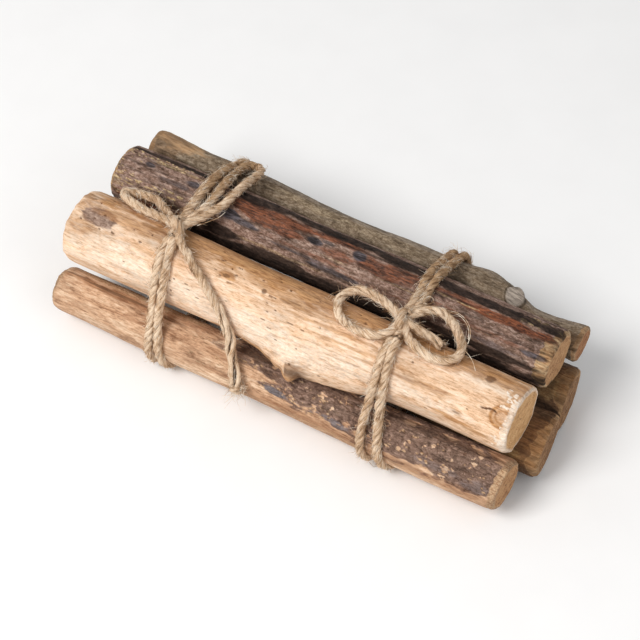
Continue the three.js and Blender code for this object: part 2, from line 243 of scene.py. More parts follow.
# ---------------------------------------------------------------- sticks: surfaces over the frame's rings
ROUND, STEP = 208, 0.42  # points round a stick, and mm between its rows
CAP_ROWS = 26
GROUND = 0.00002  # m, the lowest that any point of the bundle lies
RIM_ROWS = np.array([0.0, 0.04, 0.14, 0.3, 0.5, 0.75, 1.0])


def frame_rings(node, sides):
    """Stations along X and the ring of corners at each, matched corner to corner with the ring before."""
    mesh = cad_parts[node].data
    co = np.zeros(len(mesh.vertices) * 3, np.float32)
    mesh.vertices.foreach_get("co", co)
    co = np.unique(np.round(co.reshape(-1, 3) / MM, 3), axis=0)
    stations, counts = np.unique(co[:, 0], return_counts=True)
    stations = stations[counts == sides][1:-1]
    rings = []
    for x in stations:
        ring = co[co[:, 0] == x][:, 1:].astype(float)
        out = ring - ring.mean(0)
        ring = ring[np.argsort(np.arctan2(out[:, 1], out[:, 0]))]
        if rings:
            gaps = [np.abs(np.roll(ring, k, 0) - rings[-1]).sum() for k in range(sides)]
            ring = np.roll(ring, int(np.argmin(gaps)), 0)
        rings.append(ring)
    return stations, np.array(rings)


def cubic(knots, values, at):
    """Curve through values at the knots, with each knot's slope taken from its two neighbours."""
    slopes = np.gradient(values, knots, axis=0)
    k = np.clip(np.searchsorted(knots, at) - 1, 0, len(knots) - 2)
    width = (knots[k + 1] - knots[k]).reshape(-1, *[1] * (values.ndim - 1))
    t = ((at - knots[k]) / (knots[k + 1] - knots[k])).reshape(width.shape)
    h = t * t * (3 - 2 * t)
    start, end = t * (1 - t) ** 2 * width, t * t * (t - 1) * width
    return values[k] * (1 - h) + values[k + 1] * h + slopes[k] * start + slopes[k + 1] * end


def smooth_skin(node, sides, skip):
    """The node's skin on a fine grid: rows (N,) and corners (N, ROUND, 2) in Y and Z. Rings inside skip are
    left out."""
    stations, rings = frame_rings(node, sides)
    keep = (stations < skip[0]) | (stations > skip[1])
    stations, rings = stations[keep], rings[keep]
    low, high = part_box(node)
    low, high = low.x / MM, high.x / MM
    wrapped = np.concatenate([rings[:, -3:], rings, rings[:, :3]], 1).transpose(1, 0, 2)
    index = np.arange(-3, sides + 3)
    rings = cubic(index, wrapped, np.arange(ROUND) * sides / ROUND).transpose(1, 0, 2)
    rows = np.linspace(low, high, int((high - low) / STEP))
    held = np.clip(rows, stations[0], stations[-1])
    skin = cubic(stations, rings, held)
    return rows, skin


def end_profile(rows, look):
    """How far the skin comes in near each end: a quarter round, depth (1 - sqrt(1 - (1 - t)^2)), as (from
    start, from end) with one (length, depth) pair each."""
    inset = []
    for side, (length, depth) in zip((rows - rows[0], rows[-1] - rows), look["rim"]):
        t = np.clip(side / length, 0, 1)
        inset.append(depth * (1 - np.sqrt(np.clip(1 - (1 - t) ** 2, 0, 1))))
    return inset


def sawn_cap(rim, middle, radius, degrees, girth, outward, look):
    """One sawn face from its rim in towards its pith, with saw marks, cracks and a worn edge: points (rows,
    ROUND, 3), and the tones that a sawn face has of its own."""
    share = np.linspace(1, 0, CAP_ROWS + 1)[1:-1, None] ** 0.8
    pith = middle + np.array(look["pith"]) * radius
    cap = np.empty((CAP_ROWS - 1, ROUND, 3))
    cap[..., 1:] = pith + share[..., None] * (rim[None, :, 1:] - pith)
    flat = share * rim[None, :, 0] + (1 - share) * rim[:, 0].mean()
    y, z = cap[..., 1], cap[..., 2]
    hearts = [np.hypot(y - middle[0] - a, (z - middle[1] - b) * 1.15) for a, b in look["hearts"]]
    ring = np.minimum.reduce(hearts)
    rough = grain(look["seed"] + 70, y, degrees[None] * np.ones_like(y), girth, 2.5, 6, 3)
    saw = 0.05 * np.sin(0.9 * y + 2.6 * z + 2 * np.sin(0.25 * y)) + 0.12 * rough
    crack = np.zeros_like(y)
    for angle, length in look.get("checks", []):
        along = (y - pith[0]) * math.cos(angle) + (z - pith[1]) * math.sin(angle)
        aside = (y - pith[0]) * math.sin(angle) - (z - pith[1]) * math.cos(angle)
        line = ease(0.28, 0, np.abs(aside + 0.25 * np.sin(ring)))
        crack += line * ease(length, length * 0.3, along) * (along > 0)
    worn = ease(1, 0.9, share)
    proud = saw + 0.25 * (1 - share**2) * look.get("dome", 0)
    cap[..., 0] = flat + outward * proud * worn - outward * 0.3 * crack * worn
    # The cracks' tone is painted shade.
    return cap, {"end": np.ones_like(y) * worn, "ring": ring, "groove": np.clip(crack, 0, 1)}


def build_stick(node, look):
    """A stick as one closed grid: from the pith of one sawn face out to its rim, along the bark and in to the
    pith of the other face. Relief is added along the direction away from the stick's middle."""
    rows, skin = smooth_skin(node, look.get("sides", 24), look.get("skip", (0, 0)))
    fine = [rows[0] + RIM_ROWS[:-1] * look["rim"][0][0], rows[-1] - RIM_ROWS[:-1] * look["rim"][1][0]]
    inner = rows[(rows > rows[0] + look["rim"][0][0]) & (rows < rows[-1] - look["rim"][1][0])]
    dense = np.concatenate([fine[0], inner, fine[1][::-1]])
    skin = cubic(rows, skin, dense)
    middle = skin.mean(1)
    away = skin - middle[:, None]
    reach = np.linalg.norm(away, axis=2)
    degrees = np.degrees(np.arctan2(away[..., 1], away[..., 0])) % 360
    x = np.repeat(dense[:, None], ROUND, 1)
    girth = 2 * np.pi * reach.mean()
    relief, tones = look["surface"](x, degrees, reach, girth, look)
    from_start, from_end = (i[:, None] for i in end_profile(dense, look))
    chips = 1 + 1.1 * grain(look["seed"] + 90, x, degrees, girth, 7, 5.5, 3)
    reach_out = reach + relief - (from_start + from_end) * chips
    unit = away / reach[..., None]
    yz = middle[:, None] + unit * reach_out[..., None]
    shift = np.zeros_like(x)
    for end, (tilt_y, tilt_z), span in zip((0, -1), look["tilt"], (dense - dense[0], dense[-1] - dense)):
        lean = tilt_y * away[end, :, 0] / reach.mean() + tilt_z * away[end, :, 1] / reach.mean()
        shift += lean[None] * ease(14, 0, span)[:, None]
    side = np.dstack([x + shift, yz])
    for tone in tones.values():
        tone[np.isnan(tone)] = 0
    tones["end"] = np.zeros_like(x)
    tones["ring"] = np.zeros_like(x)
    # Painted shade: points sunk below the skin by pits, cracks, tracks and low swells are painted darker the
    # deeper they lie.
    tones["groove"] = np.clip(-relief * 1.2, 0, 1)
    grids, columns = [], {k: [] for k in tones}
    for end, outward in ((0, -1), (-1, 1)):
        cap, face = sawn_cap(side[end], middle[end], reach[end].mean(), degrees[end], girth, outward, look)
        grids.append(cap)
        for name, tone in tones.items():
            columns[name].append(face.get(name, np.repeat(tone[end][None], CAP_ROWS - 1, 0)))
    grid = np.concatenate([grids[0][::-1], side, grids[1]])
    columns = {k: np.concatenate([columns[k][0][::-1], tones[k], columns[k][1]]) for k in tones}
    poles = np.array([grids[0][-1].mean(0), grids[1][-1].mean(0)])
    points = np.vstack([grid.reshape(-1, 3), poles])
    tones = {k: np.append(v.ravel(), [v[0].mean(), v[-1].mean()]) for k, v in columns.items()}
    count = len(grid)
    piece = make_mesh(look["name"], points, *grid_faces(count, ROUND, poles=True), tones)
    return piece, side


def grid_faces(rows, around, poles=False, start=0):
    """Faces of a grid that closes round on itself: quads (i, j), (i, j+1), (i+1, j+1), (i+1, j), and with
    poles a fan of triangles on one extra point before the first row and one after the last."""
    index = start + np.arange(rows * around).reshape(rows, around)
    nxt = np.roll(index, -1, 1)
    quads = np.stack([index[:-1], nxt[:-1], nxt[1:], index[1:]], 2).reshape(-1, 4)
    if not poles:
        return quads, np.zeros((0, 3), int)
    first, last = start + rows * around, start + rows * around + 1
    fans = [
        np.stack([np.full(around, first), nxt[0], index[0]], 1),
        np.stack([np.full(around, last), index[-1], nxt[-1]], 1),
    ]
    return quads, np.vstack(fans)


def make_mesh(name, points_mm, quads, triangles, tones=None, uv=None, floor=True):
    """A mesh object from whole arrays. tones are point attributes, uv is one pair per point. With floor,
    points below the ground are pressed flat on it."""
    points = points_mm * MM
    if floor:
        points[:, 2] = np.maximum(points[:, 2], GROUND)
    mesh = bpy.data.meshes.new(name)
    mesh.vertices.add(len(points))
    mesh.vertices.foreach_set("co", points.astype(np.float32).ravel())
    corners = np.concatenate([quads.ravel(), triangles.ravel()]).astype(np.int32)
    sizes = np.concatenate([np.full(len(quads), 4), np.full(len(triangles), 3)])
    mesh.loops.add(len(corners))
    mesh.loops.foreach_set("vertex_index", corners)
    mesh.polygons.add(len(sizes))
    mesh.polygons.foreach_set("loop_start", (np.cumsum(sizes) - sizes).astype(np.int32))
    mesh.update(calc_edges=True)
    mesh.validate()
    mesh.shade_smooth()
    for key, values in (tones or {}).items():
        mesh.attributes.new(key, "FLOAT", "POINT").data.foreach_set("value", values.astype(np.float32))
    if uv is not None:
        mesh.uv_layers.new(name="lay").data.foreach_set("uv", uv[corners].astype(np.float32).ravel())
    piece = bpy.data.objects.new(name, mesh)
    bpy.context.scene.collection.objects.link(piece)
    return piece


# ---------------------------------------------------------------- the five barks and woods
def rim_bare(x, degrees, noise, ends):
    """Wood laid bare where bark has broken away beside a sawn end, as (x of the end, reach mm, angle, half
    angle)."""
    total = np.zeros_like(x)
    for at, reach, angle, width in ends:
        local = reach * (0.25 + 0.75 * ease(1.2, 0.5, np.abs(turned(degrees, angle)) / width))
        total = np.maximum(total, ease(1.15, 0.85, np.abs(x - at) / local + 0.5 * noise))
    return total


def pale_surface(x, degrees, reach, girth, look):
    """Debarked wood: slow swells, fine ridges along the grain, scattered beetle pits, a knot whose wrinkles
    circle it and a sawn-off branch scar near one end."""
    seed, radius = look["seed"], reach.mean()
    swell = grain(seed, x, degrees, girth, 34, 11, 2)
    ridge = grain(seed + 5, x, degrees + 3 * swell, girth, 11, 1.5, 3)
    edge = grain(seed + 12, x, degrees, girth, 7, 2.5, 3)
    pits = scatter(seed + 20, x, degrees, radius, (-86, 60, 60, 125), 46, (0.4, 1.0), (0.25, 0.6))
    low = scatter(seed + 21, x, degrees, radius, (-70, 80, 125, 330), 44, (0.4, 1.2), (0.2, 0.45))
    pits = np.maximum(pits, low)
    dash = scatter(seed + 22, x, degrees, radius, (-40, 12, 95, 165), 16, (0.8, 2.2), (0.12, 0.22))
    knot = np.hypot((x - 5.5) / 1.5, aside_of(degrees, 207, radius))
    wrinkle = np.sin(knot * 1.7 + 1.2 * edge) * ease(11, 4, knot) * 0.22
    tear = ease(3.4, 1.4, np.abs(knot - 3.4) + 1.2 * np.abs(edge)) * (x > 4)
    scar = np.hypot(x - 82.5, aside_of(degrees, 134, radius))
    scar_rings = np.sin(scar * 3.4 + 0.8 * edge) * ease(5.2, 3.6, scar) * 0.2
    off_crack = aside_of(degrees, 130, radius) + 0.35 * np.sin(x * 0.9) + 0.2 * edge
    crack = ease(0.5, 0.12, np.abs(off_crack)) * ease(73.5, 75.5, x) * ease(81.5, 79.5, x)
    relief = 0.3 * swell + 0.09 * ridge - 0.4 * pits - 0.22 * dash + wrinkle - 0.4 * tear
    relief = relief + scar_rings - 0.55 * crack
    bare = rim_bare(x, degrees, edge, look["bare"])
    chips = scatter(seed + 24, x, degrees, radius, (80, 86, 85, 122), 30, (0.4, 1.3), (0.3, 0.9))
    front = scatter(seed + 25, x, degrees, radius, (81, 86, 140, 190), 24, (0.4, 1.2), (0.3, 0.8))
    chips = np.maximum(chips, front)
    scar_tone = ease(0.9, 0.2, np.abs(scar - 3.9)) + ease(0.7, 0.2, np.abs(scar - 2.2)) * 0.8
    relief = relief + 0.25 * chips
    rust_and_shade, char_and_shadow = patches(x, degrees, edge, look["rust_and_shade"]), patches(x, degrees, ridge, look["char_and_shadow"])
    tones = {
        "bark": patches(x, degrees, ridge, look["bark"]),
        "rust_and_shade": np.maximum.reduce([rust_and_shade, scar_tone, ease(5.5, 4, scar) * 0.5]),
        "slate": np.zeros_like(x),
        "char_and_shadow": np.maximum.reduce([pits * 0.8, dash * 0.8, crack, tear * 0.55, char_and_shadow]),
        "straw": np.maximum.reduce([bare * 0.6, chips, patches(x, degrees, edge, look["straw"])]),
    }
    return relief, tones


def dark_surface(x, degrees, reach, girth, look):
    """Thin dry bark, rubbed through in long patches: rough scales, slits along the grain, raised lenticels at
    one end and crusty flakes at the other."""
    seed, radius = look["seed"], reach.mean()
    swell = grain(seed, x, degrees, girth, 30, 9, 2)
    scale = grain(seed + 5, x, degrees + 4 * swell, girth, 5, 1.8, 4)
    slit = np.abs(grain(seed + 9, x, degrees, girth, 9, 1.6, 2))
    edge = grain(seed + 12, x, degrees, girth, 8, 2.5, 3)
    dots = np.zeros_like(x)
    for key, spread, count, length, width in (
        (20, (-89, -60, 128, 160), 34, (0.5, 2.6), (0.22, 0.5)),
        (21, (-89, -62, 68, 84), 24, (0.4, 1.5), (0.25, 0.5)),
        (25, (-89, -80, 70, 175), 30, (0.3, 0.9), (0.2, 0.4)),
    ):
        dots = np.maximum(dots, scatter(seed + key, x, degrees, radius, spread, count, length, width))
    crust = scatter(seed + 22, x, degrees, radius, (68, 85, 64, 86), 40, (0.5, 1.6), (0.3, 0.7))
    bits = scatter(seed + 23, x, degrees, radius, (-60, 84, 150, 190), 60, (0.3, 1.2), (0.2, 0.4))
    bare = rim_bare(x, degrees, edge, look["bare"])
    relief = 0.28 * swell + 0.2 * scale - 0.3 * ease(0.12, 0.0, slit) + 0.28 * dots
    relief = relief + 0.5 * crust - 0.35 * bare
    straw = patches(x, degrees, scale * 1.6, look["straw"])
    tones = {
        "bark": 1 - bare,
        "rust_and_shade": patches(x, degrees, edge + 0.5 * scale, look["rust_and_shade"]),
        "slate": patches(x, degrees, edge, look["slate"]),
        "char_and_shadow": patches(x, degrees, 0.6 * edge, look["char_and_shadow"]),
        "straw": np.maximum.reduce([dots, crust * ease(-0.3, 0.2, edge), bits * 0.5, straw]),
    }
    return relief, tones


def front_surface(x, degrees, reach, girth, look):
    """Half-peeled: bare fibrous wood at one end, and towards the other a skin of bark that stands 0.35 mm
    proud, eaten through in worm-like tracks and dotted with lenticels."""
    seed, radius = look["seed"], reach.mean()
    swell = grain(seed, x, degrees, girth, 26, 9, 2)
    ridge = grain(seed + 5, x, degrees + 3 * swell, girth, 13, 1.2, 3)
    edge = grain(seed + 12, x, degrees, girth, 8, 3, 3)
    track = grain(seed + 16, x, degrees, girth, 4.2, 2.6, 3)
    bare = rim_bare(x, degrees, edge, look["bare"])
    skin = patches(x, degrees, edge * 1.3, look["bark"]) * (1 - bare)
    worm = ease(0.10, 0.03, np.abs(track)) * skin
    flecks = scatter(seed + 20, x, degrees, radius, (-34, 48, 96, 158), 130, (0.4, 1.8), (0.2, 0.55))
    flecks *= ease(-0.25, 0.1, grain(seed + 30, x, degrees, girth, 14, 8, 2) + 0.1)
    right = scatter(seed + 21, x, degrees, radius, (48, 86, 100, 156), 34, (0.4, 1.5), (0.25, 0.6))
    flecks = np.maximum(flecks, right)
    eaten = ease(0.34, 0.5, track + 0.2 * edge)
    relief = 0.24 * swell + 0.1 * ridge + 0.35 * skin - 0.25 * worm - 0.2 * flecks - 0.2 * bare
    relief = relief - 0.18 * eaten * skin
    tones = {
        "bark": skin * (1 - 0.85 * eaten),
        "rust_and_shade": patches(x, degrees, edge, look["rust_and_shade"]),
        "slate": patches(x, degrees, edge, look["slate"]) * skin,
        "char_and_shadow": np.maximum(worm * 0.7, patches(x, degrees, ridge, look["char_and_shadow"])),
        "straw": np.maximum.reduce([flecks * 0.9, bare * 0.8, patches(x, degrees, ridge, look["straw"])]),
    }
    return relief, tones


STUB = (61.0, 87, 3.4, 3.8)  # the frame's sawn stub: x, degrees round the stick, half sizes in mm


def grey_surface(x, degrees, reach, girth, look):
    """Smooth young bark with faint wrinkles across it and a sawn branch stub in a raised collar."""
    seed, radius = look["seed"], reach.mean()
    swell = grain(seed, x, degrees, girth, 22, 8, 2)
    skin = grain(seed + 5, x, degrees, girth, 5, 1.6, 4)
    edge = grain(seed + 12, x, degrees, girth, 8, 3, 3)
    at, angle, long, wide = STUB
    aside = np.clip(np.radians(turned(degrees, angle)), -0.9, 0.9)
    stub = np.hypot((x - at) / long, aside * radius / wide)
    sawn = ease(1.18, 0.9, stub + 0.1 * skin + 0.05 * edge)
    collar = ease(2.6, 1.15, stub)
    pores = scatter(seed + 20, x, degrees, radius, (-50, 86, 0, 360), 90, (0.3, 0.8), (0.2, 0.5))
    bare = rim_bare(x, degrees, edge, look["bare"])
    relief = 0.25 * swell + 0.14 * skin + 0.1 * pores + 0.9 * collar - 0.25 * bare
    level = reach[np.hypot(x - at, 20 * aside) < 1].mean() + 1.5
    relief = relief * (1 - sawn) + (level / np.cos(aside) - reach + 0.25 * skin) * sawn
    char_and_shadow = patches(x, degrees, edge, look["char_and_shadow"])
    tones = {
        "bark": np.clip(1 - bare - patches(x, degrees, edge, look["wood"]), 0, 1),
        "rust_and_shade": patches(x, degrees, edge, look["rust_and_shade"]),
        "slate": np.maximum(sawn, patches(x, degrees, edge, look["slate"])),
        "char_and_shadow": np.maximum(ease(1.35, 1.12, stub) * (1 - sawn) * 0.9, char_and_shadow),
        "straw": patches(x, degrees, skin, look["straw"]),
    }
    return relief, tones


def forked_surface(x, degrees, reach, girth, look):
    """Bark in long ropes that follow the fork, with the peeled wood showing at the rim of each lobe."""
    seed = look["seed"]
    swell = grain(seed, x, degrees, girth, 28, 10, 2)
    rope = grain(seed + 5, x, degrees + 4 * swell, girth, 24, 2.6, 3)
    scale = grain(seed + 9, x, degrees, girth, 5, 1.8, 3)
    edge = grain(seed + 12, x, degrees, girth, 8, 3, 3)
    bare = rim_bare(x, degrees, edge, look["bare"])
    relief = 0.28 * swell + 0.4 * rope + 0.14 * scale - 0.25 * bare
    tones = {
        "bark": np.clip(1 - bare - patches(x, degrees, edge, look["wood"]), 0, 1),
        "rust_and_shade": patches(x, degrees, edge, look["rust_and_shade"]),
        "slate": np.zeros_like(x),
        "char_and_shadow": patches(x, degrees, edge + 0.6 * rope, look["char_and_shadow"]),
        "straw": patches(x, degrees, scale, look["straw"]),
    }
    return relief, tones


# rim: (length, depth) of the broken edge at the -X and +X ends. tilt: how the two saw cuts lean, in mm at
# the rim towards +Y and up. hearts: where the growth rings start, in mm from the middle. checks: cracks on
# the sawn faces, as (direction, length mm). dome: how far the sawn faces swell. skip: rings that are left out.
# bare: (x of end, reach, angle, half angle). Patches: (x, angle, half length, half angle, strength).
STICKS = {
    "front_lower_stick": {
        "name": "half_peeled_stick",
        "seed": 11,
        "surface": front_surface,
        "rim": ((2.4, 1.8), (1.8, 1.0)),
        "tilt": ((0.3, -0.4), (0.3, 0.2)),
        "pith": (0.1, 0.0),
        "hearts": ((0.8, 0.2),),
        "checks": ((2.2, 3.0),),
        "bare": ((89.2, 2.6, 150, 120), (-92.4, 1.5, 120, 200)),
        "bark": [
            (72, 120, 30, 52, 1), (44, 118, 24, 50, 1), (22, 112, 18, 44, 1), (4, 100, 14, 36, 0.95),
            (6, 140, 10, 16, 0.8), (30, 10, 60, 90, 0.8), (-14, 90, 12, 26, 0.6),
        ],
        "rust_and_shade": [
            (40, 178, 55, 16, 0.5), (-36, 84, 14, 12, 0.5), (-68, 88, 24, 11, 0.7), (86, 60, 5, 30, 0.5),
            (-22, 120, 8, 12, 0.5), (-60, 130, 20, 3, 0.4), (-80, 150, 8, 10, 0.35), (-30, 160, 16, 3, 0.4),
        ],
        "slate": [(2, 146, 6, 8, 0.9), (24, 152, 9, 9, 0.6), (66, 145, 9, 9, 0.35), (82, 150, 6, 12, 0.4)],
        "char_and_shadow": [
            # Painted shadow: the fourth patch on the next line, at x -12 and 84 degrees, is the shadow cast on
            # top of this stick by the lump on the peeled stick.
            (-68, 86, 20, 5, 0.55), (-84, 80, 6, 5, 0.5), (-44, 90, 8, 4, 0.5), (-12, 84, 10, 13, 0.8),
            (-2, 112, 4, 9, 0.6), (20, 84, 16, 10, 0.5), (62, 82, 24, 12, 0.6), (70, 128, 10, 6, 0.4),
        ],
        "straw": [
            (-60, 60, 30, 12, 0.8), (-74, 62, 8, 8, 0.9), (-48, 56, 10, 8, 0.9), (20, 186, 30, 8, 0.4),
        ],
        "colours": {
            "wood": ("#93694c", "#d0a684", "#f0d4b6"),
            "bark": ("#3a2a26", "#745b50", "#ad8f80"),
            "rust_and_shade": ("#8a5a3c", "#b98a64"), "slate": ("#5c5a60", "#8a868a"), "char_and_shadow": ("#2f201a", "#6a4c3a"),
            "straw": ("#a87c58", "#dfbe98"),
            "end": ("#8b5e3e", "#b98a60", "#cfa679"),
        },
    },
    "pale_stick": {
        "name": "peeled_stick",
        "seed": 31,
        "surface": pale_surface,
        "rim": ((2.4, 1.6), (2.0, 1.1)),
        "tilt": ((0.2, -0.3), (0.2, 0.0)),
        "pith": (0.05, 0.05),
        "hearts": ((0.5, 0.8),),
        "checks": ((2.4, 3.0),),
        "bare": ((86.2, 2.4, 160, 70),),
        "bark": [
            (-79, 103, 8, 15, 0.8), (-84, 88, 6, 12, 0.45), (-66, 92, 9, 8, 0.45), (-72, 118, 9, 5, 0.45),
        ],
        "rust_and_shade": [
            # Partly painted shade: the first and fourth patches on the next line, along the upper back at 36 to
            # 94 degrees, are an orange stain made darker to stand for the shade from the neighbouring stick.
            (0, 64, 96, 28, 0.8), (-60, 92, 28, 12, 0.6), (10, 92, 40, 10, 0.55), (66, 70, 26, 24, 0.65),
            (-27, 106, 3.5, 7, 0.8), (-44, 96, 10, 5, 0.6), (0, 102, 10, 4, 0.6), (20, 114, 22, 3, 0.6),
            (30, 128, 20, 3, 0.55), (44, 140, 22, 3, 0.5), (26, 152, 6, 1.6, 0.8), (57, 135, 8, 4, 0.65),
            (62, 168, 5, 3, 0.75), (68, 173, 6, 4, 0.8), (75, 178, 6, 4, 0.7), (67, 155, 3, 4, 0.7),
            (-10, 208, 22, 14, 0.7), (24, 216, 20, 10, 0.5), (84, 100, 3, 30, 0.6), (59, 92, 5, 8, 0.6),
            (-84, 130, 5, 20, 0.4), (-52, 124, 16, 5, 0.4), (-24, 148, 12, 3, 0.4), (-66, 164, 14, 3, 0.35),
        ],
        "char_and_shadow": [
            (73, 83, 2, 9, 0.75), (-27, 108, 1.4, 3, 0.7), (-12, 104, 1.2, 4, 0.8), (-9, 107, 0.8, 2, 0.7),
            (0, 100, 3, 1.6, 0.6), (-3, 104, 2.4, 1.2, 0.6), (5, 97, 1.6, 1.4, 0.5),
            (67, 156, 1.6, 2.4, 0.6),
            (0, 214, 9, 7, 0.6), (-20, 206, 8, 5, 0.5), (-58, 84, 8, 4, 0.5), (-88, 76, 4, 8, 0.5),
        ],
        "straw": [
            # Painted highlight: the four patches on the next two lines lighten the front at 120 to 189 degrees,
            # the side that faces the light.
            (-20, 165, 70, 24, 0.5), (-70, 150, 22, 30, 0.4), (20, 150, 20, 12, 0.4),
            (50, 158, 24, 9, 0.5),
        ],
        "colours": {
            "wood": ("#c7966c", "#efc9a6", "#fbe6d0"),
            "bark": ("#5c463c", "#8a6f62", "#bfa494"),
            # The orange stain colours are darkened to carry painted shade from the neighbouring stick as well
            # as the stain.
            "rust_and_shade": ("#9a6434", "#d09a62"), "slate": ("#7a7471", "#8f8884"), "char_and_shadow": ("#4a3020", "#8a6040"),
            # The near-white pale-mark colours carry that painted highlight as well as the bared chips.
            "straw": ("#f3dcc4", "#fdf2e4"),
            "end": ("#a97c50", "#cfa06e", "#dfb98a"),
        },
    },
    "dark_bark_stick": {
        "name": "dark_bark_stick_skin",
        "seed": 51,
        "surface": dark_surface,
        "rim": ((1.4, 0.6), (1.8, 1.0)),
        "tilt": ((0.2, 0.2), (0.2, 0.3)),
        "pith": (0.05, 0.0),
        "hearts": ((1.2, 0.6),),
        "checks": ((1.2, 2.2),),
        "bare": ((86.4, 4.6, 140, 60), (-89.8, 1.0, 100, 200)),
        "rust_and_shade": [
            (-36, 98, 9, 20, 0.8), (-24, 108, 12, 16, 0.75), (-18, 88, 14, 10, 0.8), (-2, 84, 16, 8, 0.75),
            (2, 112, 8, 10, 0.6), (20, 106, 14, 15, 0.75), (30, 94, 12, 10, 0.7), (66, 100, 20, 9, 1),
            (80, 98, 7, 8, 1), (48, 94, 12, 6, 0.7), (44, 128, 12, 9, 0.5), (60, 134, 16, 5, 0.45),
            (-78, 170, 12, 9, 0.7), (-10, 132, 16, 4, 0.5), (14, 140, 20, 3, 0.4),
        ],
        "slate": [
            (-42, 122, 5, 11, 0.95), (-35, 128, 6, 6, 0.8), (-8, 104, 3.4, 8, 0.9), (-4, 98, 3, 5, 0.6),
            (9, 98, 2.6, 11, 0.95), (4, 146, 12, 5, 0.75), (-12, 140, 14, 3, 0.6), (80, 138, 5, 6, 0.8),
            (66, 150, 10, 6, 0.5), (-78, 94, 2, 6, 0.8), (-58, 98, 4, 8, 0.8), (-66, 112, 7, 6, 0.5),
        ],
        "char_and_shadow": [
            # Painted shadow: the twelve dark patches on the next three lines, along the top at 64 to 78 degrees
            # and under the front at 152 to 192 degrees, stand for the shade in the gaps beside the neighbouring
            # sticks.
            (-60, 64, 34, 7, 0.9), (-34, 70, 16, 14, 1), (0, 66, 30, 13, 1), (30, 72, 20, 12, 1),
            (60, 78, 30, 11, 1), (82, 72, 6, 8, 0.8), (0, 192, 95, 26, 1), (-44, 160, 10, 14, 0.9),
            (-20, 168, 14, 9, 0.8), (6, 166, 12, 7, 0.6), (-66, 152, 7, 9, 0.55), (60, 164, 26, 9, 0.8),
            (48, 100, 9, 3, 0.6), (-14, 96, 6, 6, 0.5), (26, 118, 8, 3, 0.5), (-50, 110, 4, 18, 0.5),
            (-30, 122, 8, 3, 0.5), (12, 84, 12, 4, 0.6), (40, 106, 10, 3, 0.5),
        ],
        "straw": [
            (-72, 80, 9, 5, 0.6), (-60, 82, 5, 4, 0.5), (52, 102, 9, 1.6, 0.8), (40, 100, 4, 1, 0.6),
            (-20, 156, 20, 3, 0.45), (-88, 150, 3, 14, 0.4), (30, 122, 12, 1.6, 0.5),
            (52, 136, 14, 1.4, 0.4),
            (2, 124, 8, 1.6, 0.45), (-84, 168, 6, 5, 0.4),
        ],
        "colours": {
            "wood": ("#a5744a", "#d6aa7c", "#eccfa6"),
            "bark": ("#33251f", "#866a60", "#ccb2a6"),
            "cloud": 0.36,
            # The near-black dark-mark colours here mostly carry that painted shadow.
            "rust_and_shade": ("#3c1d13", "#a05c3a"), "slate": ("#2b2a2e", "#65626a"), "char_and_shadow": ("#120c0a", "#33241c"),
            "straw": ("#a5825a", "#e8cda0"),
            "end": ("#8b6140", "#b78a60", "#c99f73"),
        },
    },
    "grey_stick": {
        "name": "grey_stick_skin",
        "seed": 71,
        "surface": grey_surface,
        "rim": ((1.2, 0.7), (1.2, 0.7)),
        "skip": (55, 68),
        "tilt": ((0.1, 0.1), (0.1, 0.2)),
        "pith": (0.0, 0.0),
        "hearts": ((0.3, 0.2),),
        "bare": ((88.6, 1.6, 120, 90), (-89.6, 2.0, 100, 200)),
        "wood": [(-80, 62, 16, 50, 0.6)],
        "rust_and_shade": [(-84, 100, 10, 60, 0.4), (82, 130, 9, 30, 0.5)],
        "slate": [(20, 62, 34, 16, 0.35), (-30, 60, 30, 14, 0.35), (74, 70, 14, 16, 0.35)],
        # Painted shade: the first dark patch, along the lower front at 124 to 176 degrees, stands for the shade
        # on that side of the stick.
        "char_and_shadow": [(0, 150, 90, 26, 0.6), (50, 110, 16, 12, 0.25), (-36, 100, 8, 12, 0.2)],
        "straw": [(10, 95, 30, 20, 0.2), (-20, 90, 20, 16, 0.3)],
        "colours": {
            "wood": ("#94714f", "#bb9670", "#d8b893"),
            "bark": ("#45392e", "#7d6d5a", "#b5a591"),
            "cloud": 0.6,
            # The dark-mark colours here serve the rim round the sawn stub and the painted shade along the lower
            # front.
            "rust_and_shade": ("#7a5434", "#a87e56"), "slate": ("#8b8076", "#c2b4a6"), "char_and_shadow": ("#33291f", "#5f5040"),
            "straw": ("#a8946f", "#cdbb98"),
            "end": ("#7b4f34", "#9c6c48", "#b4875e"),
        },
    },
    "forked_stick": {
        "name": "forked_stick_skin",
        "seed": 91,
        "sides": 28,
        "surface": forked_surface,
        "rim": ((1.6, 0.8), (2.4, 1.3)),
        "tilt": ((0.1, 0.1), (-1.3, 0.2)),
        "pith": (0.0, -0.1),
        "hearts": ((-13.0, 0.0), (12.6, 0.6)),
        "checks": ((3.0, 6.0), (0.4, 5.0)),
        "dome": 1.0,
        "bare": ((92.4, 3.6, 160, 26), (92.4, 5.0, 48, 26), (-91.4, 1.2, 90, 200)),
        "wood": [(-80, 120, 14, 60, 0.6)],
        "rust_and_shade": [(80, 150, 20, 30, 0.5), (80, 40, 20, 30, 0.5)],
        "char_and_shadow": [
            (74, 90, 26, 16, 0.95), (60, 270, 40, 24, 0.6), (10, 100, 40, 40, 0.4), (84, 60, 3, 24, 0.4),
        ],
        "straw": [(84, 56, 6, 16, 0.5), (70, 130, 10, 8, 0.3), (80, 168, 8, 7, 0.5)],
        "colours": {
            "wood": ("#8f6640", "#bf9366", "#dcb88e"),
            "bark": ("#35241a", "#6d4f39", "#a07e62"),
            "cloud": 0.55,
            "rust_and_shade": ("#6f4526", "#a87647"), "slate": ("#6c665f", "#8a837a"), "char_and_shadow": ("#20150f", "#4c3626"),
            "straw": ("#b58a58", "#dcb882"),
            "end": ("#5c3d28", "#8c6644", "#b58d66"),
        },
    },
}


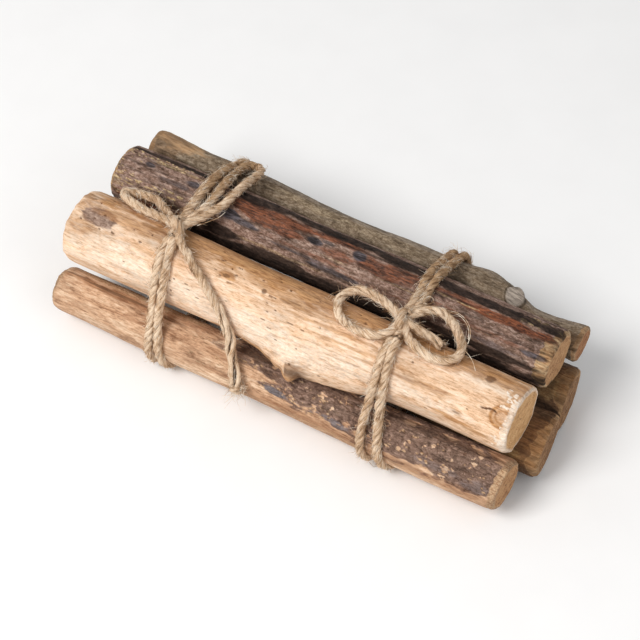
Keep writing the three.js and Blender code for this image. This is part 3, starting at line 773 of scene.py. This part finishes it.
# ---------------------------------------------------------------- materials
def linear(code):
    """An sRGB hex colour as linear RGBA: v / 12.92 up to 0.04045, and ((v + 0.055) / 1.055)^2.4 above."""
    values = [int(code[k : k + 2], 16) / 255 for k in (1, 3, 5)]
    return [v / 12.92 if v <= 0.04045 else ((v + 0.055) / 1.055) ** 2.4 for v in values] + [1.0]


def put(tree, kind, links=None, stops=None, **settings):
    """Adds one node: settings are its own properties, links give each input by name or number as a value or
    as the output that feeds it, and stops are a ramp's (position, colour) pairs."""
    node = tree.nodes.new("ShaderNode" + kind)
    for key, value in settings.items():
        setattr(node, key, value)
    for key, value in (links or {}).items():
        if isinstance(value, bpy.types.NodeSocket):
            tree.links.new(value, node.inputs[key])
        else:
            node.inputs[key].default_value = value
    if stops:
        elements = node.color_ramp.elements
        while len(elements) < len(stops):
            elements.new(0.5)
        for element, (position, colour) in zip(elements, stops):
            element.position, element.color = position, colour
    return node


def grey(value):
    return (value, value, value, 1.0)


def new_material(name):
    material = bpy.data.materials.new(name)
    material.use_nodes = True
    material.node_tree.nodes.clear()
    return material, material.node_tree


def maths(t, operation, *values):
    """A math node's output. Its values are numbers or outputs."""
    return put(t, "Math", dict(enumerate(values)), operation=operation).outputs[0]


def mix(t, share, first, second, blend="MIX"):
    """Two colours mixed by a share, or multiplied."""
    links = {0: share, 6: first, 7: second}
    return put(t, "Mix", links, data_type="RGBA", blend_type=blend).outputs[2]


def ramp(t, value, stops):
    """A value turned into a colour by (position, colour) stops."""
    return put(t, "ValToRGB", {0: value}, stops).outputs[0]


def smooth_step(t, value, low, high):
    """0 below low, 1 above high and eased between."""
    links = {0: value, 1: low, 2: high}
    return put(t, "MapRange", links, interpolation_type="SMOOTHSTEP").outputs[0]


def noise(t, place, scale, detail, roughness=0.5, distortion=0.0):
    """A noise texture's value."""
    links = {"Vector": place, "Scale": scale, "Detail": detail}
    links |= {"Roughness": roughness, "Distortion": distortion}
    return put(t, "TexNoise", links).outputs["Fac"]


def mottled(t, pair, value, low, high):
    """A stain's own two colours, mixed by a value between low and high."""
    return mix(t, smooth_step(t, value, low, high), linear(pair[0]), linear(pair[1]))


def stained(t, colour, tone, edge, goal, soft):
    """Lays a stain over the colour so far, where its tone plus the mottling passes a half."""
    mask = smooth_step(t, maths(t, "ADD", tone, edge), 0.5 - soft, 0.5 + soft)
    near = put(t, "MapRange", {0: tone, 1: 0.0, 2: 0.15}).outputs[0]
    mask = maths(t, "MULTIPLY", mask, near)
    return mix(t, maths(t, "MULTIPLY", mask, STAIN_STRENGTH), colour, goal)


def sawn_face(t, place, ring, c):
    """Growth rings, wavering, over blotchy wood. Gives the colour and the height."""
    rings = maths(t, "MULTIPLY_ADD", noise(t, place, 260.0, 4.0, 0.6), 1.1, ring)
    rings = maths(t, "SINE", maths(t, "MULTIPLY", rings, 2 * math.pi / RING_GAP))
    value = maths(t, "MULTIPLY_ADD", rings, 0.05, noise(t, place, 420.0, 6.0, 0.75))
    dark, mid, light = (linear(v) for v in c["end"])
    return ramp(t, value, [(0.33, dark), (0.5, mid), (0.68, light)]), value


TONES = ("bark", "rust_and_shade", "slate", "char_and_shadow", "straw", "end", "ring", "groove")
STAIN_STRENGTH = 0.9
RING_GAP = 0.9  # mm between growth rings


def stick_material(name, c, bump):
    """Air-dried wood under thin bark. The eye gets long fine grain on the wood, mottled scales on the bark,
    stains with broken edges, among them painted shade and a painted highlight, painted shade in the sunken
    places, growth rings on the sawn faces, and no shine anywhere."""
    material, t = new_material(name)
    place = put(t, "TexCoord").outputs["Object"]
    # One unit of each stretched space is 1 mm across the stick: 6 mm along it for grain, 2 mm for scales.
    grain_space = put(t, "Mapping", {"Vector": place, "Scale": (1000 / 6, 1000, 1000)}).outputs[0]
    scale_space = put(t, "Mapping", {"Vector": place, "Scale": (1000 / 2, 1000, 1000)}).outputs[0]
    fine = noise(t, grain_space, 1.7, 6.0, 0.7, 0.3)
    broad = noise(t, grain_space, 0.22, 3.0, 0.55, 0.6)
    hair = noise(t, grain_space, 0.8, 5.0, 0.72, 1.2)
    scale = noise(t, scale_space, 0.6, 7.0, 0.78, 0.5)
    speck = noise(t, scale_space, 1.9, 4.0, 0.7)
    tone = {k: put(t, "Attribute", attribute_name=k).outputs["Fac"] for k in TONES}

    fine_and_scale = put(t, "Mix", {0: 0.45, 2: fine, 3: scale}).outputs[0]
    dark, mid, light = (linear(v) for v in c["wood"])
    wood_value = maths(t, "MULTIPLY_ADD", broad, 0.5, fine_and_scale)
    wood = ramp(t, wood_value, [(0.58, dark), (0.74, mid), (0.92, light)])
    streak = put(t, "MapRange", {0: hair, 1: 0.38, 2: 0.26, 3: 0.0, 4: 0.45}).outputs[0]
    rust_and_shade = mottled(t, c["rust_and_shade"], hair, 0.38, 0.62)
    wood = mix(t, streak, wood, rust_and_shade)

    dark, mid, light = (linear(v) for v in c["bark"])
    bark_value = maths(t, "MULTIPLY_ADD", speck, 0.5, scale)
    bark = ramp(t, bark_value, [(0.58, dark), (0.74, mid), (0.93, light)])

    edge = maths(t, "MULTIPLY_ADD", scale, 0.9, -0.45)
    colour = stained(t, wood, tone["bark"], edge, bark, 0.2)
    # The orange stain; on the peeled stick it also carries painted shade from the neighbouring stick.
    colour = stained(t, colour, tone["rust_and_shade"], edge, rust_and_shade, 0.5)
    colour = stained(t, colour, tone["slate"], edge, mottled(t, c["slate"], hair, 0.38, 0.62), 0.5)
    # Pale marks; on the peeled stick they also carry a painted highlight on its lit front.
    colour = stained(t, colour, tone["straw"], edge, mottled(t, c["straw"], speck, 0.38, 0.62), 0.4)
    # Dark marks, and on the half-peeled, dark and grey sticks painted shadow where neighbouring sticks shade
    # them.
    colour = stained(t, colour, tone["char_and_shadow"], edge, mottled(t, c["char_and_shadow"], scale, 0.4, 0.62), 0.45)
    # Grain and pores still show through every stain.
    shade = ramp(t, fine, [(0.3, grey(0.6)), (0.5, grey(0.96)), (0.7, grey(1.0))])
    colour = mix(t, 0.8, colour, shade, "MULTIPLY")
    cloud = noise(t, grain_space, 0.35, 4.0, 0.6, 1.0)
    cloud = ramp(t, cloud, [(0.32, grey(c.get("cloud", 0.8))), (0.52, grey(1.0))])
    colour = mix(t, 1.0, colour, cloud, "MULTIPLY")

    face, face_value = sawn_face(t, place, tone["ring"], c)
    colour = mix(t, tone["end"], colour, face)
    # Painted shade: sunken places are darkened towards the first dark-mark colour.
    hollow_shade = maths(t, "MULTIPLY", tone["groove"], 0.85)
    colour = mix(t, hollow_shade, colour, linear(c["char_and_shadow"][0]))

    height = maths(t, "MULTIPLY_ADD", scale, tone["bark"], fine)
    height = maths(t, "MULTIPLY_ADD", face_value, tone["end"], height)
    normal = put(t, "Bump", {"Strength": 0.85, "Distance": bump * MM, "Height": height}).outputs[0]
    rough = put(t, "MapRange", {0: scale, 1: 0.3, 2: 0.7, 3: 0.7, 4: 0.92}).outputs[0]
    finish_material(t, colour, rough, 1.45, 0.25, normal)
    return material


def finish_material(t, colour, roughness, ior, specular, normal=None):
    """Joins what a material is made of to its output."""
    links = {"Base Color": colour, "Roughness": roughness, "IOR": ior, "Specular IOR Level": specular}
    if normal is not None:
        links["Normal"] = normal
    put(t, "OutputMaterial", {"Surface": put(t, "BsdfPrincipled", links).outputs[0]})


def twine_material():
    """Laid jute: dry straw-coloured fibres that run round each ply, browner on some stretches, with painted
    shade where the plies press together."""
    material, t = new_material("jute_twine_laid")
    lay = put(t, "UVMap", uv_map="lay").outputs[0]
    # u is mm along the strand and v mm round the ply, stretched so that fibres run long along the strand.
    turned_lay = {"Vector": lay, "Rotation": (0, 0, 0.45), "Scale": (0.22, 5.0, 1)}
    fibre = noise(t, put(t, "Mapping", turned_lay).outputs[0], 1.0, 5.0, 0.7, 0.4)
    place = put(t, "TexCoord").outputs["Object"]
    broad = noise(t, place, 180.0, 4.0, 0.7)
    brown = put(t, "Attribute", attribute_name="brown").outputs["Fac"]
    groove = put(t, "Attribute", attribute_name="groove").outputs["Fac"]
    value = maths(t, "MULTIPLY_ADD", broad, 0.5, fibre)
    paler_stops = [(0.53, linear("#7c583e")), (0.67, linear("#c49e78")), (0.82, linear("#f0dac0"))]
    browner_stops = [(0.53, linear("#402a1c")), (0.7, linear("#80603f")), (0.87, linear("#c09a70"))]
    colour = mix(t, brown, ramp(t, value, paler_stops), ramp(t, value, browner_stops))
    # Painted shade where the plies press together: the inner side of each ply is darkened.
    colour = mix(t, groove, colour, linear("#4a2f1c"))
    bump = put(t, "Bump", {"Strength": 0.9, "Distance": 0.16 * MM, "Height": fibre})
    finish_material(t, colour, 0.88, 1.5, 0.25, bump.outputs[0])
    return material


def fuzz_material():
    """Single jute fibres: dry, from straw to nearly white."""
    material, t = new_material("jute_fibres")
    value = noise(t, put(t, "TexCoord").outputs["Object"], 300.0, 2.0)
    stops = [(0.35, linear("#8a6544")), (0.48, linear("#cfae8a")), (0.6, linear("#f6e9d6"))]
    finish_material(t, ramp(t, value, stops), 0.7, 1.5, 0.3)
    return material


# ---------------------------------------------------------------- twine: plies laid round a path
def even_path(points, step=PATH_STEP):
    """Points every step mm along the smooth curve through the given points."""
    points = np.array(points, float)
    chord = np.append(0, np.cumsum(np.linalg.norm(np.diff(points, axis=0), axis=1)))
    dense = cubic(chord, points, np.linspace(0, chord[-1], int(chord[-1] / 0.1)))
    length = np.append(0, np.cumsum(np.linalg.norm(np.diff(dense, axis=0), axis=1)))
    at = np.linspace(0, length[-1], max(8, int(length[-1] / step)))
    return np.stack([np.interp(at, length, dense[:, k]) for k in range(3)], 1), at


def path_frame(path):
    """Tangent, and two directions across the path: the first is square to the tangent and nearest to the
    direction that the path's tangents point along least."""
    tangent = np.gradient(path, axis=0)
    tangent /= np.linalg.norm(tangent, axis=1, keepdims=True)
    _, axes = np.linalg.eigh(tangent.T @ tangent)
    reference = axes[:, 0]
    across = reference - (tangent @ reference)[:, None] * tangent
    across /= np.linalg.norm(across, axis=1, keepdims=True)
    return tangent, across, np.cross(tangent, across)


def strand(path, at, seed, radius=TWINE_RADIUS, loosen=0.0, sides=12, plies=3):
    """Plies wound round a path. A ply's middle is at rho (cos p, sin p) across the path, with p = 2 pi s /
    lay plus a slow wander, and its own round section is drawn out sideways by the lay. loosen spreads the plies
    towards the far end. Gives points, faces, uv and the groove tone."""
    _, across, up = path_frame(path)
    count = len(path)
    taper = ease(-0.6, 1.2, at) * ease(-0.6, 1.2, at[-1] - at)
    apart = 1 + loosen * ease(0.35, 1, at / at[-1])
    slow = wavering(seed, at, 14)
    points, quads, fans, uvs, grooves = [], [], [], [], []
    start = 0
    for ply in range(plies):
        phase = 2 * np.pi * (at / PLY_LAY * (1 - 0.35 * (apart - 1)) + ply / plies) + 1.1 * slow
        wander = 1 + 0.24 * wavering(seed + 7 + ply, at, 5)
        rho = radius * 0.48 * apart * wander
        thick = radius * 0.54 * (1 + 0.25 * wavering(seed + 17 + ply, at, 3.2)) * taper
        out = np.cos(phase)[:, None] * across + np.sin(phase)[:, None] * up
        aside = -np.sin(phase)[:, None] * across + np.cos(phase)[:, None] * up
        alpha = 2 * np.pi * np.arange(sides) / sides
        cells = np.tile(alpha / 2 / np.pi * 6, (count, 1))
        lumps = 1 + 0.12 * lattice_noise(seed + 27 + ply, np.repeat(at[:, None] / 2.4, sides, 1), cells, 6)
        radial = thick[:, None] * lumps * np.cos(alpha)
        sideways = thick[:, None] * lumps * 1.22 * np.sin(alpha)
        centre = path + rho[:, None] * out
        grid = centre[:, None] + radial[..., None] * out[:, None] + sideways[..., None] * aside[:, None]
        block, fan = grid_faces(count, sides, poles=True, start=start)
        points += [grid.reshape(-1, 3), centre[[0, -1]]]
        quads.append(block)
        fans.append(fan)
        around = alpha * radius * 0.5
        lengthwise, sidewise = at[:, None] + 300 * ply, around[None] + 2.2 * at[:, None] / PLY_LAY
        uv = np.stack(np.broadcast_arrays(lengthwise, sidewise), 2)
        uvs += [uv.reshape(-1, 2), uv[[0, -1], 0]]
        # Painted shade: the side of each ply that faces the strand's middle, where the plies press together.
        hollow_shade = np.broadcast_to(ease(-0.1, -0.85, np.cos(alpha)), (count, sides)).reshape(-1)
        grooves += [hollow_shade, [0.5, 0.5]]
        start += count * sides + 2
    return np.vstack(points), np.vstack(quads), np.vstack(fans), np.vstack(uvs), np.concatenate(grooves)


def join_strands(name, parts, browns):
    """One mesh from several strands. browns gives each strand's share of brown colour, as a number or as
    a function of its points."""
    points, quads, fans, uvs, grooves, tones, start = [], [], [], [], [], [], 0
    for (p, q, f, uv, groove), brown in zip(parts, browns):
        points.append(p)
        quads.append(q + start)
        fans.append(f + start)
        uvs.append(uv + len(uvs) * 37.0)
        grooves.append(groove)
        tones.append(brown(p) if callable(brown) else np.full(len(p), float(brown)))
        start += len(p)
    stack = {"groove": np.concatenate(grooves) * 0.8, "brown": np.concatenate(tones)}
    piece = make_mesh(name, np.vstack(points), np.vstack(quads), np.vstack(fans), stack, np.vstack(uvs))
    piece.data.materials.append(TWINE)
    return piece


def taut_outline(low, high, skins, reach):
    """The line of twine pulled tight round the sticks between two stations: for each of SPOKES directions the
    skin point that lies furthest that way, moved reach further."""
    near = [s[(s[:, 0, 0] > low) & (s[:, 0, 0] < high)][::3].reshape(-1, 3)[:, 1:] for s in skins]
    near = np.vstack(near)
    angle = np.radians(90 + np.arange(SPOKES) * 360 / SPOKES)
    ways = np.stack([np.cos(angle), np.sin(angle)], 1)
    far = near[np.argmax(near @ ways.T, axis=0)]
    return far + reach * ways


def turn_path(tie, number, skins):
    """One turn: down the front from the knot, under, up the back and over the top, with x read off the turn's
    list. The second turn rides up on the first where there is no room beside it."""
    turn = np.array(tie["turns"][number], float)
    knot_y = tie["knot"][1]
    outline = taut_outline(turn[:, 1].min() - 1, turn[:, 1].max() + 1, skins, TWINE_RADIUS - 0.6)
    top = outline[:, 1] > outline[:, 1].mean()
    start = int(np.argmin(np.abs(outline[:, 0] - knot_y) + 1000 * ~top))
    outline = np.roll(outline, -start, 0)
    loop = np.vstack([outline, outline[:1]])
    length = np.append(0, np.cumsum(np.linalg.norm(np.diff(loop, axis=0), axis=1)))
    at = np.linspace(0, length[-1], int(length[-1] / PATH_STEP))
    yz = np.stack([np.interp(at, length, loop[:, k]) for k in (0, 1)], 1)
    kernel = np.hanning(9)[1:-1]
    kernel /= kernel.sum()
    padded = np.pad(yz, ((3, 3), (0, 0)), mode="edge")
    yz = np.stack([np.convolve(padded[:, k], kernel, "valid") for k in (0, 1)], 1)
    share = at / at[-1]
    x = np.interp(share, turn[:, 0], turn[:, 1])
    x = x + 0.35 * wavering(tie["seed"] + number, at, 17)
    if number == 1:
        first = np.array(tie["turns"][0], float)
        beside = np.abs(x - np.interp(share, first[:, 0], first[:, 1]))
        room = np.clip((2 * TWINE_RADIUS - 0.4) ** 2 - beside**2, 0, None)
        lift = np.sqrt(room) * ease(0.42, 0.6, np.abs(share - 0.5) * 2)
        way = np.gradient(yz, axis=0)
        way = np.stack([way[:, 1], -way[:, 0]], 1) / np.linalg.norm(way, axis=1, keepdims=True)
        yz = yz + way * lift[:, None] * 0.8
    return np.column_stack([x, yz]), at


def band_path(tie):
    """The wrap that pinches the bow: an ellipse round the bow's own direction, a little over one turn and a
    quarter, drifting along it."""
    band = tie["band"]
    axis = np.array(band["across"])
    axis /= np.linalg.norm(axis)
    side = np.cross([0, 0, 1.0], axis)
    side /= np.linalg.norm(side)
    t = np.linspace(-0.6, 2 * np.pi + 1.2, 60)
    wide, high = band["reach"]
    path = np.array(tie["knot"]) + wide * np.cos(t)[:, None] * side
    path = path + high * np.sin(t)[:, None] * np.array([0, 0, 1.0])
    path = path + band["drift"] * ((t - t.mean()) / np.ptp(t))[:, None] * axis
    return even_path(path)


def threads(name, lines, width):
    """Three-sided threads along lines (count, points, 3), each point with its own radius, as one mesh."""
    count, length = lines.shape[:2]
    along = np.gradient(lines, axis=1)
    along /= np.linalg.norm(along, axis=2, keepdims=True) + 1e-9
    side = np.cross(along, np.array([0.36, 0.48, 0.8]))
    side /= np.linalg.norm(side, axis=2, keepdims=True) + 1e-9
    other = np.cross(along, side)
    angle = (2 * np.pi * np.arange(3) / 3)[:, None]
    ring = np.cos(angle) * side[:, :, None] + np.sin(angle) * other[:, :, None]
    grid = lines[:, :, None] + width[..., None, None] * ring
    index = np.arange(count * length * 3).reshape(count, length, 3)
    nxt = np.roll(index, -1, 2)
    quads = np.stack([index[:, :-1], nxt[:, :-1], nxt[:, 1:], index[:, 1:]], 3).reshape(-1, 4)
    ends = np.vstack([index[:, 0, ::-1], index[:, -1]])
    piece = make_mesh(name, grid.reshape(-1, 3), quads, ends)
    piece.data.materials.append(FUZZ)
    return piece


def clinging(paths, count, rng, points=7):
    """Fibres that follow the lay of their strand for a few mm and lift off it towards their tips."""
    joined, across, up = np.vstack(paths), [], []
    for path in paths:
        _, a, b = path_frame(path)
        across.append(a)
        up.append(b)
    across, up = np.vstack(across), np.vstack(up)
    last = np.cumsum([len(p) for p in paths])
    pick = rng.integers(0, len(joined), count)
    stop = last[np.searchsorted(last, pick, side="right")] - 1
    t = np.linspace(0, 1, points)
    span = np.clip(rng.lognormal(1.15, 0.4, count), 1.2, 7)
    index = np.minimum((pick[:, None] + span[:, None] * t / PATH_STEP).astype(int), stop[:, None])
    turn = rng.uniform(0, 2 * np.pi, count)[:, None]
    turn = turn + rng.normal(0.9, 0.5, (count, 1)) * span[:, None] * t / 3
    lift = rng.exponential(0.4, (count, 1)) * t**1.5 + rng.uniform(-0.1, 0.12, (count, 1))
    away = TWINE_RADIUS * (0.96 + 0.04 * np.cos(3 * turn)) + lift * 1.6
    out = np.cos(turn)[..., None] * across[index] + np.sin(turn)[..., None] * up[index]
    return joined[index] + away[..., None] * out


def flying(paths, count, rng, points=7):
    """Loose fibres: each leaves its strand along L t d + L t^2 c, a straight part plus a curl."""
    joined = np.vstack(paths)
    tangents = np.vstack([path_frame(p)[0] for p in paths])
    pick = rng.integers(0, len(joined), count)
    tangent = tangents[pick]
    out = rng.normal(size=(count, 3))
    out -= (out * tangent).sum(1, keepdims=True) * tangent
    out /= np.linalg.norm(out, axis=1, keepdims=True)
    base = joined[pick] + out * TWINE_RADIUS * 0.75
    length = np.clip(rng.lognormal(0.75, 0.5, count), 0.8, 7.0)[:, None, None]
    lean = tangent * rng.choice([-1, 1], (count, 1)) * rng.uniform(0.4, 1.1, (count, 1))
    direction = out * rng.uniform(0.2, 0.9, (count, 1)) + lean
    direction /= np.linalg.norm(direction, axis=1, keepdims=True)
    curl = rng.normal(0, 0.5, (count, 3)) - 0.25 * out
    t = np.linspace(0, 1, points)[None, :, None]
    wave = 0.12 * np.sin(9 * t + rng.uniform(0, 6, (count, 1, 1))) * rng.normal(size=(count, 1, 3)) * t
    return base[:, None] + length * (t * direction[:, None] + t * t * curl[:, None]) + wave


def fuzz(name, paths, seed, close=3600, loose=900):
    """All the fibres of one tie: those that lie close along the strands, and those that fly off them."""
    rng = np.random.default_rng(seed)
    lines = np.concatenate([clinging(paths, close, rng), flying(paths, loose, rng)])
    taper = 1 - 0.6 * np.linspace(0, 1, lines.shape[1])
    return threads(name, lines, 0.08 * taper * rng.uniform(0.6, 1.4, (len(lines), 1)))


def small_knot(name, centre, seed):
    """An overhand knot pulled small: a trefoil, (2 + cos 3t)(cos 2t, sin 2t) and sin 3t, amid loose fibres."""
    t = np.linspace(0, 2 * np.pi, 70)
    out = 2 + np.cos(3 * t)
    path = 0.62 * np.column_stack([out * np.cos(2 * t), out * np.sin(2 * t), 1.3 * np.sin(3 * t)])
    path, at = even_path(path + np.array(centre), 0.3)
    piece = join_strands(name, [strand(path, at, seed, radius=0.75, sides=8)], [0.1])
    rng = np.random.default_rng(seed)
    tuft = flying([path], 260, rng)
    width = 0.07 * np.linspace(1, 0.5, tuft.shape[1]) * np.ones((len(tuft), 1))
    brush = threads(name + "_frayed_fibres", tuft, width)
    return piece, brush


# ---------------------------------------------------------------- building the bundle
SLOTS = {
    "front_lower_stick": "half_peeled_wood",
    "pale_stick": "peeled_wood",
    "dark_bark_stick": "dark_bark",
    "grey_stick": "grey_bark",
    "forked_stick": "brown_bark",
}
TWINE, FUZZ = twine_material(), fuzz_material()
BUMPS = {"pale_stick": 0.2, "grey_stick": 0.24}  # mm of fine relief, 0.4 on the other sticks
skins = []
for node, look in STICKS.items():
    stick, side = build_stick(node, look)
    material = stick_material("air_dried_" + SLOTS[node], look["colours"], BUMPS.get(node, 0.4))
    stick.data.materials.append(material)
    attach(stick, "root")
    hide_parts(node)
    skins.append(side)


def finish_twine(piece):
    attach(piece, "root")
    return piece


def free_cord(name, points, seed, brown, loosen=0.0):
    """A loop or tail that lies free of the sticks: one strand."""
    path, at = even_path(np.array(points))
    piece = finish_twine(join_strands(name, [strand(path, at, seed, loosen=loosen)], [brown]))
    return path


def brown_behind(points):
    """Twine grows browner from the front of the bundle to its back."""
    return 0.1 + 0.75 * ease(-8, 14, points[:, 1])


def brown_far_leg(points):
    """The far leg of the large loop is browner than its front and its end."""
    return 0.1 + 0.75 * ease(-45.5, -48, points[:, 0]) * ease(-6, 6, points[:, 1])


def tie_bundle(side, tie):
    """One tie: two taut turns, the wrap that pinches its bow, and its free loops and tails."""
    seed, knot = tie["seed"], np.array(tie["knot"])
    turns = [turn_path(tie, k, skins) for k in (0, 1)]
    band = band_path(tie)
    parts = [strand(*turns[0], seed), strand(*turns[1], seed + 1), strand(*band, seed + 2, radius=1.45)]
    browns = [brown_behind, brown_behind, 0.2]
    paths = [turns[0][0], turns[1][0], band[0]]
    if side == "left":
        end_knot = small_knot("left_tie_tail_knot", tie["tail_knot"], seed + 20)
        end_knot = [finish_twine(p) for p in end_knot]
        paths.append(free_cord("left_tie_small_loop", tie["small_loop"], seed + 10, 0.2))
        paths.append(free_cord("left_tie_large_loop", tie["large_loop"], seed + 11, brown_far_leg))
        paths.append(free_cord("left_tie_tail", tie["tail"], seed + 12, 0.15, 0.9))
    else:
        short = even_path(np.array(tie["short_tail"]))
        parts.append(strand(*short, seed + 3, loosen=0.3))
        browns.append(0.35)
        paths.append(short[0])
        paths.append(free_cord("right_tie_left_loop", tie["left_loop"], seed + 10, 0.0))
        paths.append(free_cord("right_tie_right_loop", tie["right_loop"], seed + 11, 0.05))
    wraps = finish_twine(join_strands(f"{side}_tie_turns_and_knot", parts, browns))
    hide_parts(tie["node"])
    finish_twine(fuzz(f"{side}_tie_fuzz", paths, seed + 50))


def sprung_line(points):
    """A sprung fibre's curve, as FIBRE_POINTS points."""
    path, _ = even_path(points, 0.1)
    return path[np.linspace(0, len(path) - 1, FIBRE_POINTS).astype(int)]


for side, tie in TIES.items():
    tie_bundle(side, tie)
sprung = np.array([sprung_line(points) for points in SPRUNG_FIBRES])
finish_twine(threads("sprung_fibres", sprung, np.full(sprung.shape[:2], 0.13)))


# ---------------------------------------------------------------- ground, light
def pale_floor():
    """Matt white studio board, 3 m across."""
    half = 1500.0
    corners = np.array([[-half, -half, 0], [half, -half, 0], [half, half, 0], [-half, half, 0]])
    floor = make_mesh("studio_board", corners, np.array([[0, 1, 2, 3]]), np.zeros((0, 3), int), floor=False)
    material, t = new_material("matt_white_board")
    value = noise(t, put(t, "TexCoord").outputs["Object"], 40.0, 2.0)
    colour = ramp(t, value, [(0.3, grey(0.93)), (0.7, grey(0.95))])
    shader = put(t, "BsdfPrincipled", {"Base Color": colour, "Roughness": 0.9})
    put(t, "OutputMaterial", {"Surface": shader.outputs[0]})
    floor.data.materials.append(material)


def soft_light(name, place, size, power, warmth):
    """A square soft box aimed at the bundle."""
    lamp = bpy.data.lights.new(name, "AREA")
    lamp.energy, lamp.size, lamp.color = power, size, warmth
    holder = bpy.data.objects.new(name, lamp)
    holder.location = place
    holder.rotation_euler = (Vector(place) - TARGET).to_track_quat("Z", "Y").to_euler()
    bpy.context.scene.collection.objects.link(holder)


pale_floor()
soft_light("key_softbox", (-0.35, -0.75, 0.95), 0.6, 12.0, (1.0, 0.985, 0.965))
soft_light("fill_softbox", (0.9, -0.3, 0.8), 0.8, 2.0, (0.97, 0.98, 1.0))
world = bpy.data.worlds.new("studio")
bpy.context.scene.world = world
world.use_nodes = True
world.node_tree.nodes["Background"].inputs["Color"].default_value = (1.0, 1.0, 1.0, 1.0)
world.node_tree.nodes["Background"].inputs["Strength"].default_value = 0.45
bpy.context.scene.view_settings.view_transform = "Standard"
